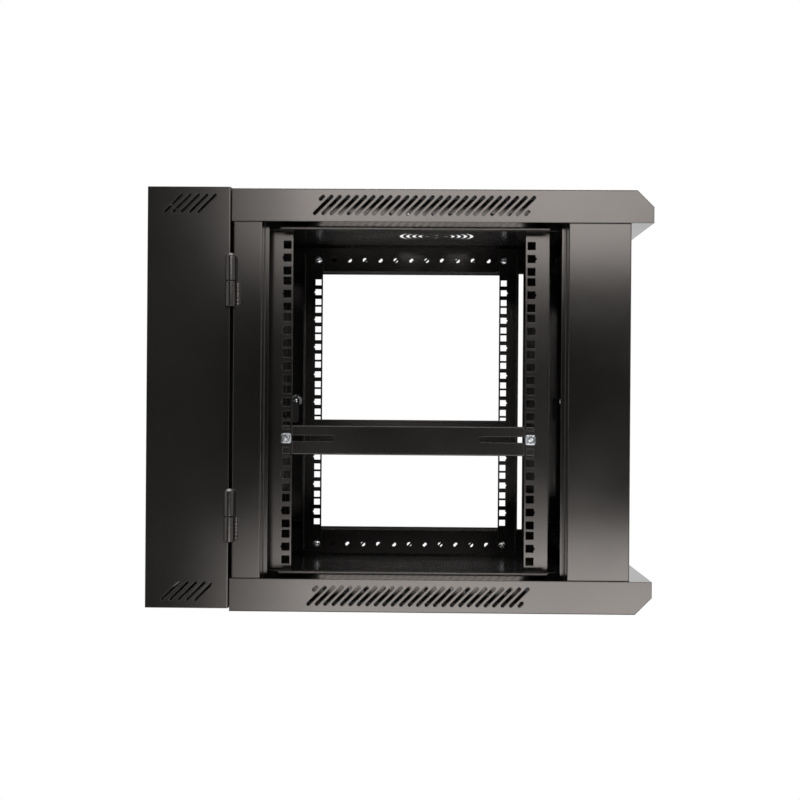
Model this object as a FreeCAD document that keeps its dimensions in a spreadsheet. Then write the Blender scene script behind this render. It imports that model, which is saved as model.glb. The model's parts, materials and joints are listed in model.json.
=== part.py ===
import FreeCAD, Part
import math
import os
import re
import Sketcher

# Wall mount network cabinet, nine rack units high, in two sections: a shallow section that is
# bolted to the wall, and a main body that swings away from it on two side hinges.
# X runs across the width, the wall is the plane Y = 0, the front faces -Y and Z points up.
# The origin is the centre of the wall bolt pattern, on the wall. Left is -X, the hinge side.

SIZES = [
    ("cabinet_width", 600, "outer width of both sections"),
    ("plate", 1.2, "sheet of covers, posts, door and wall section"),
    ("bend", 1.1, "outer radius of a fold"),
    # Wall section
    ("section_height", 500, "height of the wall section"),
    ("section_depth", 98.5, "depth of the wall section"),
    ("back_plate", 1.5, "sheet of the plate on the wall"),
    ("section_flange", 40, "width of the folded front flange of a side"),
    ("section_rear_flange", 20, "width of the flange on the back plate, and of top and bottom folds"),
    ("wall_bolt_width", 450, "wall bolts, across"),
    ("wall_bolt_height", 400, "wall bolts, up"),
    ("wall_bolt_hole", 9, "diameter of a wall bolt hole"),
    ("cable_hole_width", 300, "cut-out for cables in the back plate"),
    ("cable_hole_height", 150, "cut-out for cables in the back plate"),
    ("entry_width", 250, "cable entry in the top and bottom of the wall section"),
    ("entry_depth", 50, "cable entry in the top and bottom of the wall section"),
    ("entry_centre", 52, "cable entry's centre from the wall"),
    ("entry_lap", 16, "overlap of a blanking plate at each end"),
    ("section_vents", 5, "slots in one row on a wall section side"),
    ("section_vent_width", 3.2, "width of a slot on a wall section side"),
    ("section_vent_start", 20.4, "first slot's low end from the wall"),
    # Main body
    ("body_rear", 100, "rear of the covers from the wall"),
    ("body_depth", 500, "depth of the covers"),
    ("body_top", 248.5, "top of the main body"),
    ("body_foot", 253.5, "bottom of the main body, below the origin"),
    ("skirt", 39, "height of a cover's skirt"),
    ("nose", 20, "chamfer and upright of a cover's nose"),
    ("nose_return", 55, "closed underside of the nose, front to back"),
    ("nose_turn", 20, "height of the fold behind the nose's underside"),
    ("seam", 1, "gap between a skirt and a post"),
    ("vent_run", 19.8, "length of a vent slot between end centres, across and up"),
    ("vent_width", 4, "width of a cover vent slot"),
    ("vent_pitch", 10, "pitch of the vent slots"),
    ("vent_count", 25, "slots in a cover's row"),
    ("vent_start", 198.4, "first slot's low end from the wall, top cover"),
    ("vent_shift", 4.5, "offset of the bottom cover's row towards the wall"),
    ("vent_stub", 3, "length of the short slot at each end of the row, across and up"),
    ("fan_spacing", 240, "distance between the two fan places"),
    ("fan_centre", 349.5, "fan places from the wall"),
    ("fan_bolts", 105, "square pattern of a fan's screws"),
    ("fan_bolt_hole", 4.5, "diameter of a fan screw hole"),
    ("fan_ring_first", 25.5, "radius of the innermost ring of fan slots"),
    ("fan_ring_step", 9.4, "step from ring to ring"),
    ("fan_slot", 5, "width of a fan slot"),
    ("fan_slot_angle", 42, "half the angle of a fan slot"),
    ("fan_hub_radius", 14.5, "radius of the four hub holes' circle"),
    ("fan_hub_hole", 10, "diameter of a hub hole"),
    ("post_gap", 2.5, "rear post's rear face behind the covers' rear"),
    ("rear_post", 33.8, "side face of a rear post"),
    ("front_post", 73.6, "side face of a front post"),
    ("nose_overhang", 26.6, "covers past the front posts"),
    ("post_return", 28, "fold of a post at the side opening"),
    ("post_ledge", 5.3, "ledge that a side panel rests on"),
    ("post_tab", 12, "tab behind the seam, below the edge of a skirt"),
    ("post_tab_lap", 15, "the same tab, behind the skirt"),
    ("frame_edge", 240, "rear frame flange, inner edge from the middle"),
    ("door_side", 268, "front frame flange, inner edge from the middle"),
    ("door_stop", 16.2, "fold of the front frame flange, beside the door"),
    # Rack
    ("rack_plane", 244, "outer face of the rack rails, from the middle"),
    ("steel", 1.5, "sheet of rack rails, depth rails and braces"),
    ("rack_side", 30, "rack rail, side flange"),
    ("rack_face", 18.5, "rack rail, front flange"),
    ("rack_length", 480, "length of a rack rail"),
    ("rack_drop", 5, "rack units' centre below the origin"),
    ("unit_height", 44.45, "one rack unit"),
    ("unit_count", 9, "rack units"),
    ("hole_step", 15.875, "outer holes of a unit from its middle hole"),
    ("cage_hole", 9.5, "square hole for a cage nut"),
    ("notch", 2, "notch that marks the middle hole of a unit"),
    ("face_hole", 232.55, "face hole column from the middle"),
    ("side_hole", 7.2, "side hole column from the free edge"),
    ("depth_rail_height", 38, "web of a depth rail"),
    ("depth_rail_inset", 1.5, "a depth rail's flange inside the edge of the side opening"),
    ("depth_rail_reach", 272, "outer edge of a depth rail's flange, from the middle"),
    ("depth_rail_lip", 5.3, "lip of the flange inside the edge of the side opening"),
    ("flange_start", 155, "depth rail flange from the wall, rear end"),
    ("flange_end", 480, "depth rail flange from the wall, front end"),
    ("row_pitch", 25, "pitch of the holes along a depth rail"),
    ("row_count", 16, "holes along a depth rail"),
    ("row_start", 135.6, "first of these holes from the wall"),
    ("row_hole", 7, "diameter of these holes"),
    ("rear_column", 1, "pitches from the first of these holes to the rear rack rail's screw"),
    ("front_column", 13, "pitches from the first of these holes to the front rack rail's screw"),
    ("rail_screw_height", 230, "rail screws above and below the rack units' centre"),
    ("brace_start", 150, "depth brace from the wall, rear end"),
    ("brace_end", 471, "depth brace from the wall, front end"),
    ("brace_height", 36, "web of a depth brace"),
    ("brace_flange", 8, "flanges of a depth brace"),
    ("brace_shift", 2, "middle of a brace's web below its slots"),
    ("brace_slot", 7, "width of a brace slot"),
    ("brace_slot_rear", 221, "rear slot's front end from the wall"),
    ("brace_slot_front", 398, "front slot's rear end from the wall"),
    ("brace_slot_margin", 5, "slots' other ends from the brace's ends"),
    # Fasteners
    ("screw", 5.9, "shank of a screw for the cage nuts and rails"),
    ("screw_head", 12, "diameter of its pan head"),
    ("screw_head_height", 3.6, "height of its pan head"),
    ("screw_crown", 9, "diameter of the pan head's crown"),
    ("screw_length", 12, "length of its shank"),
    ("nut_bore", 6, "bore of cage nuts and rail nuts"),
    ("nut_width", 10, "width across a nut"),
    ("nut_height", 5, "height of a nut"),
    ("cage_width", 13.5, "cage of a cage nut, up"),
    ("cage_depth", 11, "cage of a cage nut, across"),
    ("cage_collar", 9.3, "collar of a cage nut in its square hole"),
    ("plate_screw", 4, "shank of a blanking plate screw"),
    ("plate_screw_head", 8, "head of a blanking plate screw"),
    # Side hinges
    ("hinge_out", 306.5, "hinge axis from the middle"),
    ("hinge_back", 100.5, "hinge axis from the wall"),
    ("hinge_height", 139, "a hinge's parting line above and below their middle"),
    ("hinge_drop", 1.4, "middle of the two hinges below the origin"),
    ("knuckle_radius", 6.5, "outside of a hinge knuckle"),
    ("knuckle_length", 30, "one knuckle"),
    ("knuckle_gap", 0.4, "gap between the knuckles of a hinge"),
    ("hinge_pin", 8, "diameter of a hinge pin"),
    ("running", 0.05, "radial clearance of a turning fit"),
    ("pin_cap", 2.5, "height of a hinge pin's cap"),
    ("pin_cap_radius", 5.4, "radius of the cap's rim"),
    ("pin_cap_crown", 3, "radius of the cap's crown"),
    ("weld", 7, "leg of the weld that holds a knuckle"),
    # Door
    ("door_gap", 2, "gap above and below the door"),
    ("door_left", 262.5, "hinge edge of the door from the middle"),
    ("door_right", 264.5, "lock edge of the door from the middle"),
    ("door_front", 572.5, "front of the door from the wall"),
    ("door_depth", 15, "thickness of the door"),
    ("door_border", 45, "width of the door's steel frame"),
    ("window_return", 6, "fold round the window"),
    ("gasket", 1, "gasket under the glass"),
    ("gasket_width", 8, "width of the gasket"),
    ("glass", 4, "thickness of the glass"),
    ("door_pin", 6, "diameter of a door pivot pin"),
    ("door_axis", 255, "door pivot from the middle"),
    ("door_axis_back", 565, "door pivot from the wall"),
    ("door_pin_length", 17, "length of a door pivot pin"),
    ("door_pin_tip", 8, "a door pivot pin's tip past the door"),
    ("door_collar", 10, "diameter of a pivot pin's collar"),
    ("door_collar_height", 1.8, "height of the collar"),
    # Quarter-turn locks
    ("door_lock_head", 22, "diameter of the door lock's head"),
    ("door_lock_barrel", 18, "diameter of the door lock's housing"),
    ("door_lock_core", 12, "diameter of the door lock's plug"),
    ("door_lock_nut", 26, "door lock's nut across its corners"),
    ("body_lock_head", 18, "diameter of the body lock's head"),
    ("body_lock_barrel", 14, "diameter of the body lock's housing"),
    ("body_lock_core", 10, "diameter of the body lock's plug"),
    ("body_lock_nut", 20.4, "body lock's nut across its corners"),
    ("lock_head_height", 2.4, "height of a lock's head"),
    ("lock_head_taper", 1, "taper of a lock's head, on the radius"),
    ("lock_nut_height", 4, "height of a lock's nut"),
    ("lock_fit", 0.05, "radial clearance of a housing in its hole"),
    ("plug_recess", 0.4, "face of a plug below the face of its housing"),
    ("keyway_depth", 6, "key slot from the face of the housing"),
    ("keyway_width", 1.4, "key slot across"),
    ("keyway_height", 8, "key slot up"),
    ("cam_screw_head", 9, "diameter of a cam's screw head at the cam"),
    ("cam_screw_crown", 6.4, "diameter of its crown"),
    ("cam_screw_height", 2.4, "height of a cam's screw head"),
    ("cam_sheet", 2.4, "sheet of a cam"),
    ("cam_width", 12, "width of a cam"),
    ("door_lock_side", 242, "door lock from the middle"),
    ("door_cam_reach", 32, "door cam from its axis to its tip"),
    ("body_lock_back", 121, "body lock from the wall"),
    ("body_lock_drop", 3, "body lock below the origin"),
    ("body_lock_length", 14, "body lock's plug, behind the sheet"),
    ("hook_reach", 37, "hook, outer radius of its claw"),
    ("hook_claw", 7, "thickness of the claw"),
    ("hook_angle", 28, "angle of the claw"),
    ("claw_end", 5, "angle of each round end of the claw"),
    ("hook_slot_low", 36, "slots for the hook, low end below its axis"),
    ("hook_slot_high", 8.5, "slots for the hook, high end above its axis"),
    ("hook_slot_width", 9, "width of the slots for the hook"),
]

doc = FreeCAD.newDocument("wall_cabinet")
dim = doc.addObject("Spreadsheet::Sheet", "dim")
for row, (name, size, meaning) in enumerate(SIZES, start=1):
    dim.set(f"A{row}", name)
    dim.set(f"B{row}", str(size))
    dim.set(f"C{row}", meaning)
    dim.setAlias(f"B{row}", name)
doc.recompute()

ALIASES = {name for name, size, meaning in SIZES}
nodes = []


# Expressions

def cells(expression):
    """Turn the bare names in an expression into references to the sheet's cells."""
    return re.sub(r"[a-z_]+", lambda word: ("dim." if word.group() in ALIASES else "") + word.group(),
                  expression)


def value(expression):
    return float(dim.evalExpression(cells(expression)))


def place(thing, x="0", y="0", z="0"):
    for axis, expression in zip("xyz", (x, y, z)):
        thing.setExpression(f"Placement.Base.{axis}", cells(expression))


# Bodies made from sketches

def new_body(label):
    body = doc.addObject("PartDesign::Body", label)
    body.Label = label
    place(body)
    nodes.append(body)
    return body


def origin_part(body, role):
    return next(item for item in body.Origin.OriginFeatures if item.Role == role)


def sketch(body, name, plane, offset="0"):
    """An empty sketch on one of the body's own planes, moved along its normal."""
    drawing = body.newObject("Sketcher::SketchObject", f"{body.Name}_{name}")
    drawing.AttachmentSupport = (origin_part(body, plane), "")
    drawing.MapMode = "FlatFace"
    drawing.setExpression("AttachmentOffset.Base.z", cells(offset))
    return drawing


def tie(drawing, kind, *geometry, to):
    index = drawing.addConstraint(Sketcher.Constraint(kind, *geometry, value(to)))
    drawing.setExpression(f"Constraints[{index}]", cells(to))


def tie_point(drawing, edge, end, u, v):
    tie(drawing, "DistanceX", -1, 1, edge, end, to=u)
    tie(drawing, "DistanceY", -1, 1, edge, end, to=v)


def outline(drawing, corners):
    """A closed polygon whose corners are pairs of expressions."""
    points = [FreeCAD.Vector(value(u), value(v), 0) for u, v in corners]
    first = drawing.GeometryCount
    for number, point in enumerate(points):
        drawing.addGeometry(Part.LineSegment(point, points[(number + 1) % len(points)]), False)
    for number, (u, v) in enumerate(corners):
        following = first + (number + 1) % len(points)
        drawing.addConstraint(Sketcher.Constraint("Coincident", first + number, 2, following, 1))
        tie_point(drawing, first + number, 1, u, v)


def rectangle(drawing, low_u, high_u, low_v, high_v):
    outline(drawing, [(low_u, low_v), (high_u, low_v), (high_u, high_v), (low_u, high_v)])


def circle(drawing, u, v, radius):
    centre = FreeCAD.Vector(value(u), value(v), 0)
    edge = drawing.addGeometry(Part.Circle(centre, FreeCAD.Vector(0, 0, 1), value(radius)), False)
    tie_point(drawing, edge, 3, u, v)
    tie(drawing, "Radius", edge, to=radius)


def closed_arcs(drawing, pieces):
    """Join edges end to end, each tangent to the next."""
    for number, (edge, end) in enumerate(pieces):
        following, start = pieces[(number + 1) % len(pieces)]
        drawing.addConstraint(Sketcher.Constraint("Tangent", edge, end, following, 3 - start))


def slot(drawing, start, finish, radius):
    """A round-ended slot between two end centres."""
    ends = [FreeCAD.Vector(value(u), value(v), 0) for u, v in (start, finish)]
    along = (ends[1] - ends[0]).normalize()
    across = FreeCAD.Vector(-along.y, along.x, 0) * value(radius)
    turn = FreeCAD.Vector(1, 0, 0).getAngle(along) * (1 if along.y >= 0 else -1)
    quarter = math.pi / 2
    up = FreeCAD.Vector(0, 0, 1)
    low_side = drawing.addGeometry(Part.LineSegment(ends[0] - across, ends[1] - across), False)
    far_cap = drawing.addGeometry(Part.ArcOfCircle(Part.Circle(ends[1], up, value(radius)),
                                                   turn - quarter, turn + quarter), False)
    high_side = drawing.addGeometry(Part.LineSegment(ends[1] + across, ends[0] + across), False)
    near_cap = drawing.addGeometry(Part.ArcOfCircle(Part.Circle(ends[0], up, value(radius)),
                                                    turn + quarter, turn + 3 * quarter), False)
    closed_arcs(drawing, [(low_side, 2), (far_cap, 2), (high_side, 2), (near_cap, 2)])
    tie_point(drawing, near_cap, 3, *start)
    tie_point(drawing, far_cap, 3, *finish)
    tie(drawing, "Radius", far_cap, to=radius)


def ring_slot(drawing, centre, radius, width, middle, half):
    """A round-ended slot bent round a centre; the angles are in degrees."""
    u, v = centre
    low, high = f"({middle} - {half})", f"({middle} + {half})"
    ends = [(f"{u} + {radius} * cos{angle}", f"{v} + {radius} * sin{angle}") for angle in (low, high)]
    up = FreeCAD.Vector(0, 0, 1)
    degree = math.pi / 180
    start, finish = value(low) * degree, value(high) * degree
    hub = FreeCAD.Vector(value(u), value(v), 0)

    def arc(point, size, first, last):
        return drawing.addGeometry(Part.ArcOfCircle(Part.Circle(point, up, size), first, last), False)

    near, far = [FreeCAD.Vector(value(a), value(b), 0) for a, b in ends]
    half_width = value(width) / 2
    outer = arc(hub, value(radius) + half_width, start, finish)
    far_cap = arc(far, half_width, finish, finish + 180 * degree)
    inner = arc(hub, value(radius) - half_width, start, finish)
    near_cap = arc(near, half_width, start - 180 * degree, start)
    closed_arcs(drawing, [(outer, 2), (far_cap, 2), (inner, 1), (near_cap, 2)])
    tie_point(drawing, outer, 3, u, v)
    drawing.addConstraint(Sketcher.Constraint("Coincident", inner, 3, outer, 3))
    tie_point(drawing, near_cap, 3, *ends[0])
    tie(drawing, "DistanceX", -1, 1, far_cap, 3, to=ends[1][0])
    tie(drawing, "Radius", outer, to=f"{radius} + {width} / 2")


def pad(body, drawing, length, both_ways=False):
    feature = body.newObject("PartDesign::Pad", f"{drawing.Name}_pad")
    feature.Profile = drawing
    feature.SideType = "Symmetric" if both_ways else "One side"
    feature.setExpression("Length", cells(length))
    body.Tip = feature
    return feature


def pocket(body, drawing, length=None):
    """Cut through everything, or along the sketch's normal for a given length."""
    feature = body.newObject("PartDesign::Pocket", f"{drawing.Name}_pocket")
    feature.Profile = drawing
    if length is None:
        feature.Type = "ThroughAll"
        feature.SideType = "Symmetric"
    else:
        feature.Reversed = True
        feature.setExpression("Length", cells(length))
    body.Tip = feature
    return feature


def repeat(body, feature, axis, pitch, count, reverse=False):
    """Repeat a feature along one of the body's own axes."""
    doc.recompute()
    pattern = body.newObject("PartDesign::LinearPattern", f"{feature.Name}_row")
    pattern.Originals = [feature]
    pattern.Direction = (origin_part(body, axis), [""])
    pattern.Reversed = reverse
    pattern.setExpression("Length", cells(f"{pitch} * ({count} - 1)"))
    pattern.setExpression("Occurrences", cells(count))
    body.Tip = pattern
    return pattern


def round_bends(body, run, corners):
    """Roll the folds that run along an axis (0, 1 or 2) through the given corners."""
    doc.recompute()
    folded = body.Tip
    places = [[value(part) for part in corner] for corner in corners]
    folds = []
    for number, edge in enumerate(folded.Shape.Edges, start=1):
        ends = [list(vertex.Point) for vertex in edge.Vertexes]
        if len(ends) < 2:
            continue
        spread = [abs(ends[0][axis] - ends[1][axis]) for axis in range(3)]
        flat = [ends[0][axis] for axis in range(3) if axis != run]
        straight = all(spread[axis] < 0.01 for axis in range(3) if axis != run)
        if straight and any(abs(flat[0] - a) + abs(flat[1] - b) < 0.02 for a, b in places):
            folds.append(f"Edge{number}")
    feature = body.newObject("PartDesign::Fillet", f"{folded.Name}_bends")
    feature.Base = (folded, folds)
    feature.setExpression("Radius", cells("bend"))
    body.Tip = feature
    return feature


# Pieces made from primitives

TURNS = {
    "x": FreeCAD.Rotation(FreeCAD.Vector(0, 1, 0), 90),
    "y": FreeCAD.Rotation(FreeCAD.Vector(1, 0, 0), -90),
    "z": FreeCAD.Rotation(),
}


def box(label, x, y, z):
    """A block between a low and a high expression on each axis."""
    solid = doc.addObject("Part::Box", label)
    for size, (low, high) in zip(("Length", "Width", "Height"), (x, y, z)):
        solid.setExpression(size, cells(f"({high}) - ({low})"))
    place(solid, x[0], y[0], z[0])
    return solid


def turned(solid, axis, centre, low):
    """Stand a primitive on an axis: its foot at `low`, its centre line through `centre`."""
    solid.Placement = FreeCAD.Placement(FreeCAD.Vector(), TURNS[axis])
    spot = list(centre)
    spot.insert("xyz".index(axis), low)
    place(solid, *spot)
    return solid


def rod(label, axis, centre, low, high, radius):
    solid = doc.addObject("Part::Cylinder", label)
    solid.setExpression("Radius", cells(radius))
    solid.setExpression("Height", cells(f"({high}) - ({low})"))
    return turned(solid, axis, centre, low)


def cone(label, axis, centre, low, high, low_radius, high_radius):
    solid = doc.addObject("Part::Cone", label)
    solid.setExpression("Radius1", cells(low_radius))
    solid.setExpression("Radius2", cells(high_radius))
    solid.setExpression("Height", cells(f"({high}) - ({low})"))
    return turned(solid, axis, centre, low)


def hexagon(label, axis, centre, low, high, radius):
    flat = doc.addObject("Part::Prism", label)
    flat.Polygon = 6
    flat.setExpression("Circumradius", cells(radius))
    flat.setExpression("Height", cells(f"({high}) - ({low})"))
    return turned(flat, axis, centre, low)


def fuse(label, *pieces):
    joined = doc.addObject("Part::MultiFuse", label)
    joined.Shapes = list(pieces)
    return joined


def cut(label, base, *tools):
    result = doc.addObject("Part::Cut", label)
    result.Base = base
    result.Tool = tools[0] if len(tools) == 1 else fuse(f"{label}_tools", *tools)
    return result


def group(label, pieces):
    """Identical pieces that share one node."""
    together = doc.addObject("Part::Compound", label)
    together.Links = list(pieces)
    return node(together, label)


def node(thing, label):
    thing.Label = label
    nodes.append(thing)
    return thing


# Places that several pieces share

HALF = "cabinet_width / 2"
INSIDE = "(cabinet_width / 2 - plate)"
SECTION_TOP = "section_height / 2"
BODY_MIDDLE = "((body_top - body_foot) / 2)"
COVER_FRONT = "(body_rear + body_depth)"
OPENING_TOP = "(body_top - skirt)"
OPENING_FOOT = "(body_foot - skirt)"
POST_REAR = "(body_rear + post_gap)"
POST_FRONT = "(body_rear + body_depth - nose_overhang)"
BRACE_DROP = "(rack_drop + unit_height)"
COLUMNS = {"front": "(-row_start - front_column * row_pitch)",
           "rear": "(-row_start - rear_column * row_pitch)"}
SIDES = {"left": "-1", "right": "1"}
FLOORS = {"top": "1", "bottom": "-1"}


# Wall section

def wall_back_plate():
    body = new_body("wall_back_plate")
    face = sketch(body, "face", "XZ_Plane")
    rectangle(face, f"-{INSIDE}", INSIDE, f"-{SECTION_TOP}", SECTION_TOP)
    rectangle(face, "-cable_hole_width / 2", "cable_hole_width / 2",
              "-cable_hole_height / 2", "cable_hole_height / 2")
    for across in ("-1", "1"):
        for up in ("-1", "1"):
            circle(face, f"{across} * wall_bolt_width / 2", f"{up} * wall_bolt_height / 2",
                   "wall_bolt_hole / 2")
    pad(body, face, "back_plate")


def wall_side(side):
    sign = SIDES[side]
    body = new_body(f"wall_side_{side}")
    section = sketch(body, "section", "XY_Plane")
    front, rear = f"{sign} * ({HALF} - section_flange)", f"{sign} * ({HALF} - section_rear_flange)"
    outline(section, [(f"{sign} * {HALF}", "0"),
                      (f"{sign} * {HALF}", "-section_depth"),
                      (front, "-section_depth"),
                      (front, "plate - section_depth"),
                      (f"{sign} * {INSIDE}", "plate - section_depth"),
                      (f"{sign} * {INSIDE}", "-back_plate - plate"),
                      (rear, "-back_plate - plate"),
                      (rear, "-back_plate"),
                      (f"{sign} * {INSIDE}", "-back_plate"),
                      (f"{sign} * {INSIDE}", "0")])
    pad(body, section, "section_height", both_ways=True)
    round_bends(body, 2, [(f"{sign} * {HALF}", "-section_depth")])
    vents = sketch(body, "vents", "YZ_Plane")
    for floor in ("-1", "1"):
        middle = f"{floor} * ({SECTION_TOP} - vent_run)"
        slot(vents, ("-section_vent_start", f"{middle} - vent_run / 2"),
             ("-section_vent_start - vent_run", f"{middle} + vent_run / 2"), "section_vent_width / 2")
    row = pocket(body, vents)
    repeat(body, row, "Y_Axis", "vent_pitch", "section_vents", reverse=True)
    if side == "right":
        hook_way(body, "-section_depth - plate", "3 * plate")


def hook_way(body, front, length):
    """The slot in a flange that the body lock's hook swings through."""
    way = sketch(body, "hook_way", "XZ_Plane", offset=f"-({front}) - {length}")
    middle = f"({HALF} - body_lock_length - cam_sheet / 2)"
    rectangle(way, f"{middle} - hook_slot_width / 2", f"{middle} + hook_slot_width / 2",
              "-body_lock_drop - hook_slot_low", "hook_slot_high - body_lock_drop")
    pocket(body, way, length)


def wall_cap(floor):
    """The top or bottom of the wall section, folded at the front, with a cable entry."""
    sign = FLOORS[floor]
    body = new_body(f"wall_{floor}_plate")
    flat = sketch(body, "flat", "YZ_Plane")
    outer, inner = f"{sign} * {SECTION_TOP}", f"{sign} * ({SECTION_TOP} - plate)"
    outline(flat, [("plate - section_depth", outer), ("-back_plate - plate", outer),
                   ("-back_plate - plate", inner), ("plate - section_depth", inner)])
    pad(body, flat, f"2 * {INSIDE}", both_ways=True)
    fold = sketch(body, "fold", "YZ_Plane")
    edge = f"{sign} * ({SECTION_TOP} - section_rear_flange)"
    outline(fold, [("-section_depth", outer), ("plate - section_depth", outer),
                   ("plate - section_depth", edge), ("-section_depth", edge)])
    pad(body, fold, f"2 * ({HALF} - section_flange)", both_ways=True)
    entry = sketch(body, "entry", "XY_Plane")
    rectangle(entry, "-entry_width / 2", "entry_width / 2",
              "-entry_centre - entry_depth / 2", "-entry_centre + entry_depth / 2")
    for across in ("-1", "1"):
        circle(entry, f"{across} * (entry_width + entry_lap) / 2", "-entry_centre", "plate_screw / 2")
    pocket(body, entry)


def blanking_plate(floor):
    """The plate that closes a cable entry from the inside."""
    sign = FLOORS[floor]
    body = new_body(f"{floor}_blanking_plate")
    top = sketch(body, "face", "XY_Plane", offset=f"{sign} * ({SECTION_TOP} - 1.5 * plate)")
    rectangle(top, "-entry_width / 2 - entry_lap", "entry_width / 2 + entry_lap",
              "-entry_centre - entry_depth / 2 - entry_lap / 2",
              "-entry_centre + entry_depth / 2 + entry_lap / 2")
    for across in ("-1", "1"):
        circle(top, f"{across} * (entry_width + entry_lap) / 2", "-entry_centre", "plate_screw / 2")
    pad(body, top, "plate", both_ways=True)


def blanking_screws():
    screws = []
    for floor, sign in FLOORS.items():
        for side, across in SIDES.items():
            centre = (f"{across} * (entry_width + entry_lap) / 2", "-entry_centre")
            face = f"{sign} * {SECTION_TOP}"
            outside = f"{face} + {sign} * plate_screw / 2"
            inside = f"{face} - {sign} * (4 * plate + plate_screw)"
            name = f"blanking_screw_{floor}_{side}"
            ends = sorted((inside, face), key=value)
            crown = sorted((face, outside), key=value)
            radii = ["plate_screw_head / 2", "plate_screw_head / 4"]
            head = cone(f"{name}_head", "z", centre, *crown, *(radii if sign == "1" else radii[::-1]))
            screws.append(fuse(name, rod(f"{name}_shank", "z", centre, *ends, "plate_screw / 2"), head))
    group("blanking_plate_screws", screws)


# Main body

def cover(floor):
    """A folded tray with vented skirts and a bevelled nose over the door."""
    sign = FLOORS[floor]
    body = new_body(f"{floor}_cover")
    level = "body_top" if floor == "top" else "-body_foot"

    def depth(below):
        return f"{level} - {sign} * ({below})"

    shell = sketch(body, "shell", "YZ_Plane")
    outline(shell, [("-body_rear", depth("0")),
                    (f"nose - {COVER_FRONT}", depth("0")),
                    (f"-{COVER_FRONT}", depth("nose")),
                    (f"-{COVER_FRONT}", depth("skirt")),
                    ("-body_rear", depth("skirt"))])
    pad(body, shell, "cabinet_width", both_ways=True)
    hollow = sketch(body, "hollow", "YZ_Plane")
    slant = "plate * tan(22.5)"
    outline(hollow, [("-body_rear - plate", depth("plate")),
                     (f"nose - {COVER_FRONT} + {slant}", depth("plate")),
                     (f"plate - {COVER_FRONT}", depth(f"nose + {slant}")),
                     (f"plate - {COVER_FRONT}", depth("skirt - plate")),
                     (f"nose_return - {COVER_FRONT} - plate", depth("skirt - plate")),
                     (f"nose_return - {COVER_FRONT} - plate", depth("skirt - nose_turn")),
                     (f"nose_return - {COVER_FRONT}", depth("skirt - nose_turn")),
                     (f"nose_return - {COVER_FRONT}", depth("skirt + plate")),
                     ("-body_rear - plate", depth("skirt + plate"))])
    inside = pocket(body, hollow)
    inside.Type = "Length"
    inside.setExpression("Length", cells(f"2 * {INSIDE}"))
    round_bends(body, 1, [(f"{side} * {HALF}", depth("0")) for side in SIDES.values()])
    vents = sketch(body, "vents", "YZ_Plane")
    shift = "0" if floor == "top" else "vent_shift"
    middle = depth("skirt / 2")
    start = f"-vent_start + {shift}"
    slot(vents, (start, f"{middle} - vent_run / 2"),
         (f"{start} - vent_run", f"{middle} + vent_run / 2"), "vent_width / 2")
    row = pocket(body, vents)
    repeat(body, row, "Y_Axis", "vent_pitch", "vent_count", reverse=True)
    stubs = sketch(body, "stubs", "YZ_Plane")
    rear = f"{start} - vent_run + vent_pitch"
    front = f"{start} - vent_pitch * vent_count"
    slot(stubs, (f"{rear} + vent_stub", f"{middle} + vent_run / 2 - vent_stub"),
         (rear, f"{middle} + vent_run / 2"), "vent_width / 2")
    slot(stubs, (front, f"{middle} - vent_run / 2"),
         (f"{front} - vent_stub", f"{middle} - vent_run / 2 + vent_stub"), "vent_width / 2")
    pocket(body, stubs)
    pivot = sketch(body, "pivot", "XY_Plane", offset=depth("skirt - 4 * plate"))
    circle(pivot, "-door_axis", "-door_axis_back", "door_pin / 2 + running")
    hole = pocket(body, pivot, "8 * plate")
    hole.Reversed = floor == "bottom"
    if floor == "top":
        fan_places(body)


def fan_places(body):
    """Two round fan places: rings of bent slots, hub holes and the fans' screw holes."""
    fans = sketch(body, "fans", "XY_Plane", offset="body_top")
    centre = ("-fan_spacing / 2", "-fan_centre")
    for ring in range(4):
        for middle in ("90", "270"):
            ring_slot(fans, centre, f"(fan_ring_first + {ring} * fan_ring_step)", "fan_slot", middle,
                      "fan_slot_angle")
    for quarter in range(4):
        circle(fans, f"{centre[0]} + fan_hub_radius * cos({90 * quarter})",
               f"{centre[1]} + fan_hub_radius * sin({90 * quarter})", "fan_hub_hole / 2")
    for across in ("-1", "1"):
        for along in ("-1", "1"):
            circle(fans, f"{centre[0]} + {across} * fan_bolts / 2",
                   f"{centre[1]} + {along} * fan_bolts / 2", "fan_bolt_hole / 2")
    places = pocket(body, fans, "3 * plate")
    places.Reversed = False
    repeat(body, places, "X_Axis", "fan_spacing", "2")


def post_ends(body, sign):
    """Take a post's side face away where the covers' skirts run."""
    ends = sketch(body, "ends", "XZ_Plane")
    edge = sorted((f"{sign} * {INSIDE}", f"{sign} * ({HALF} + plate)"), key=value)
    rectangle(ends, *edge, f"{OPENING_TOP} - seam", "body_top + plate")
    rectangle(ends, *edge, "-body_foot - plate", f"-{OPENING_FOOT} + seam")
    pocket(body, ends)


def post_height(body, drawing):
    drawing.setExpression("AttachmentOffset.Base.z", cells(BODY_MIDDLE))
    pad(body, drawing, "body_top + body_foot - 2 * plate", both_ways=True)


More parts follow.
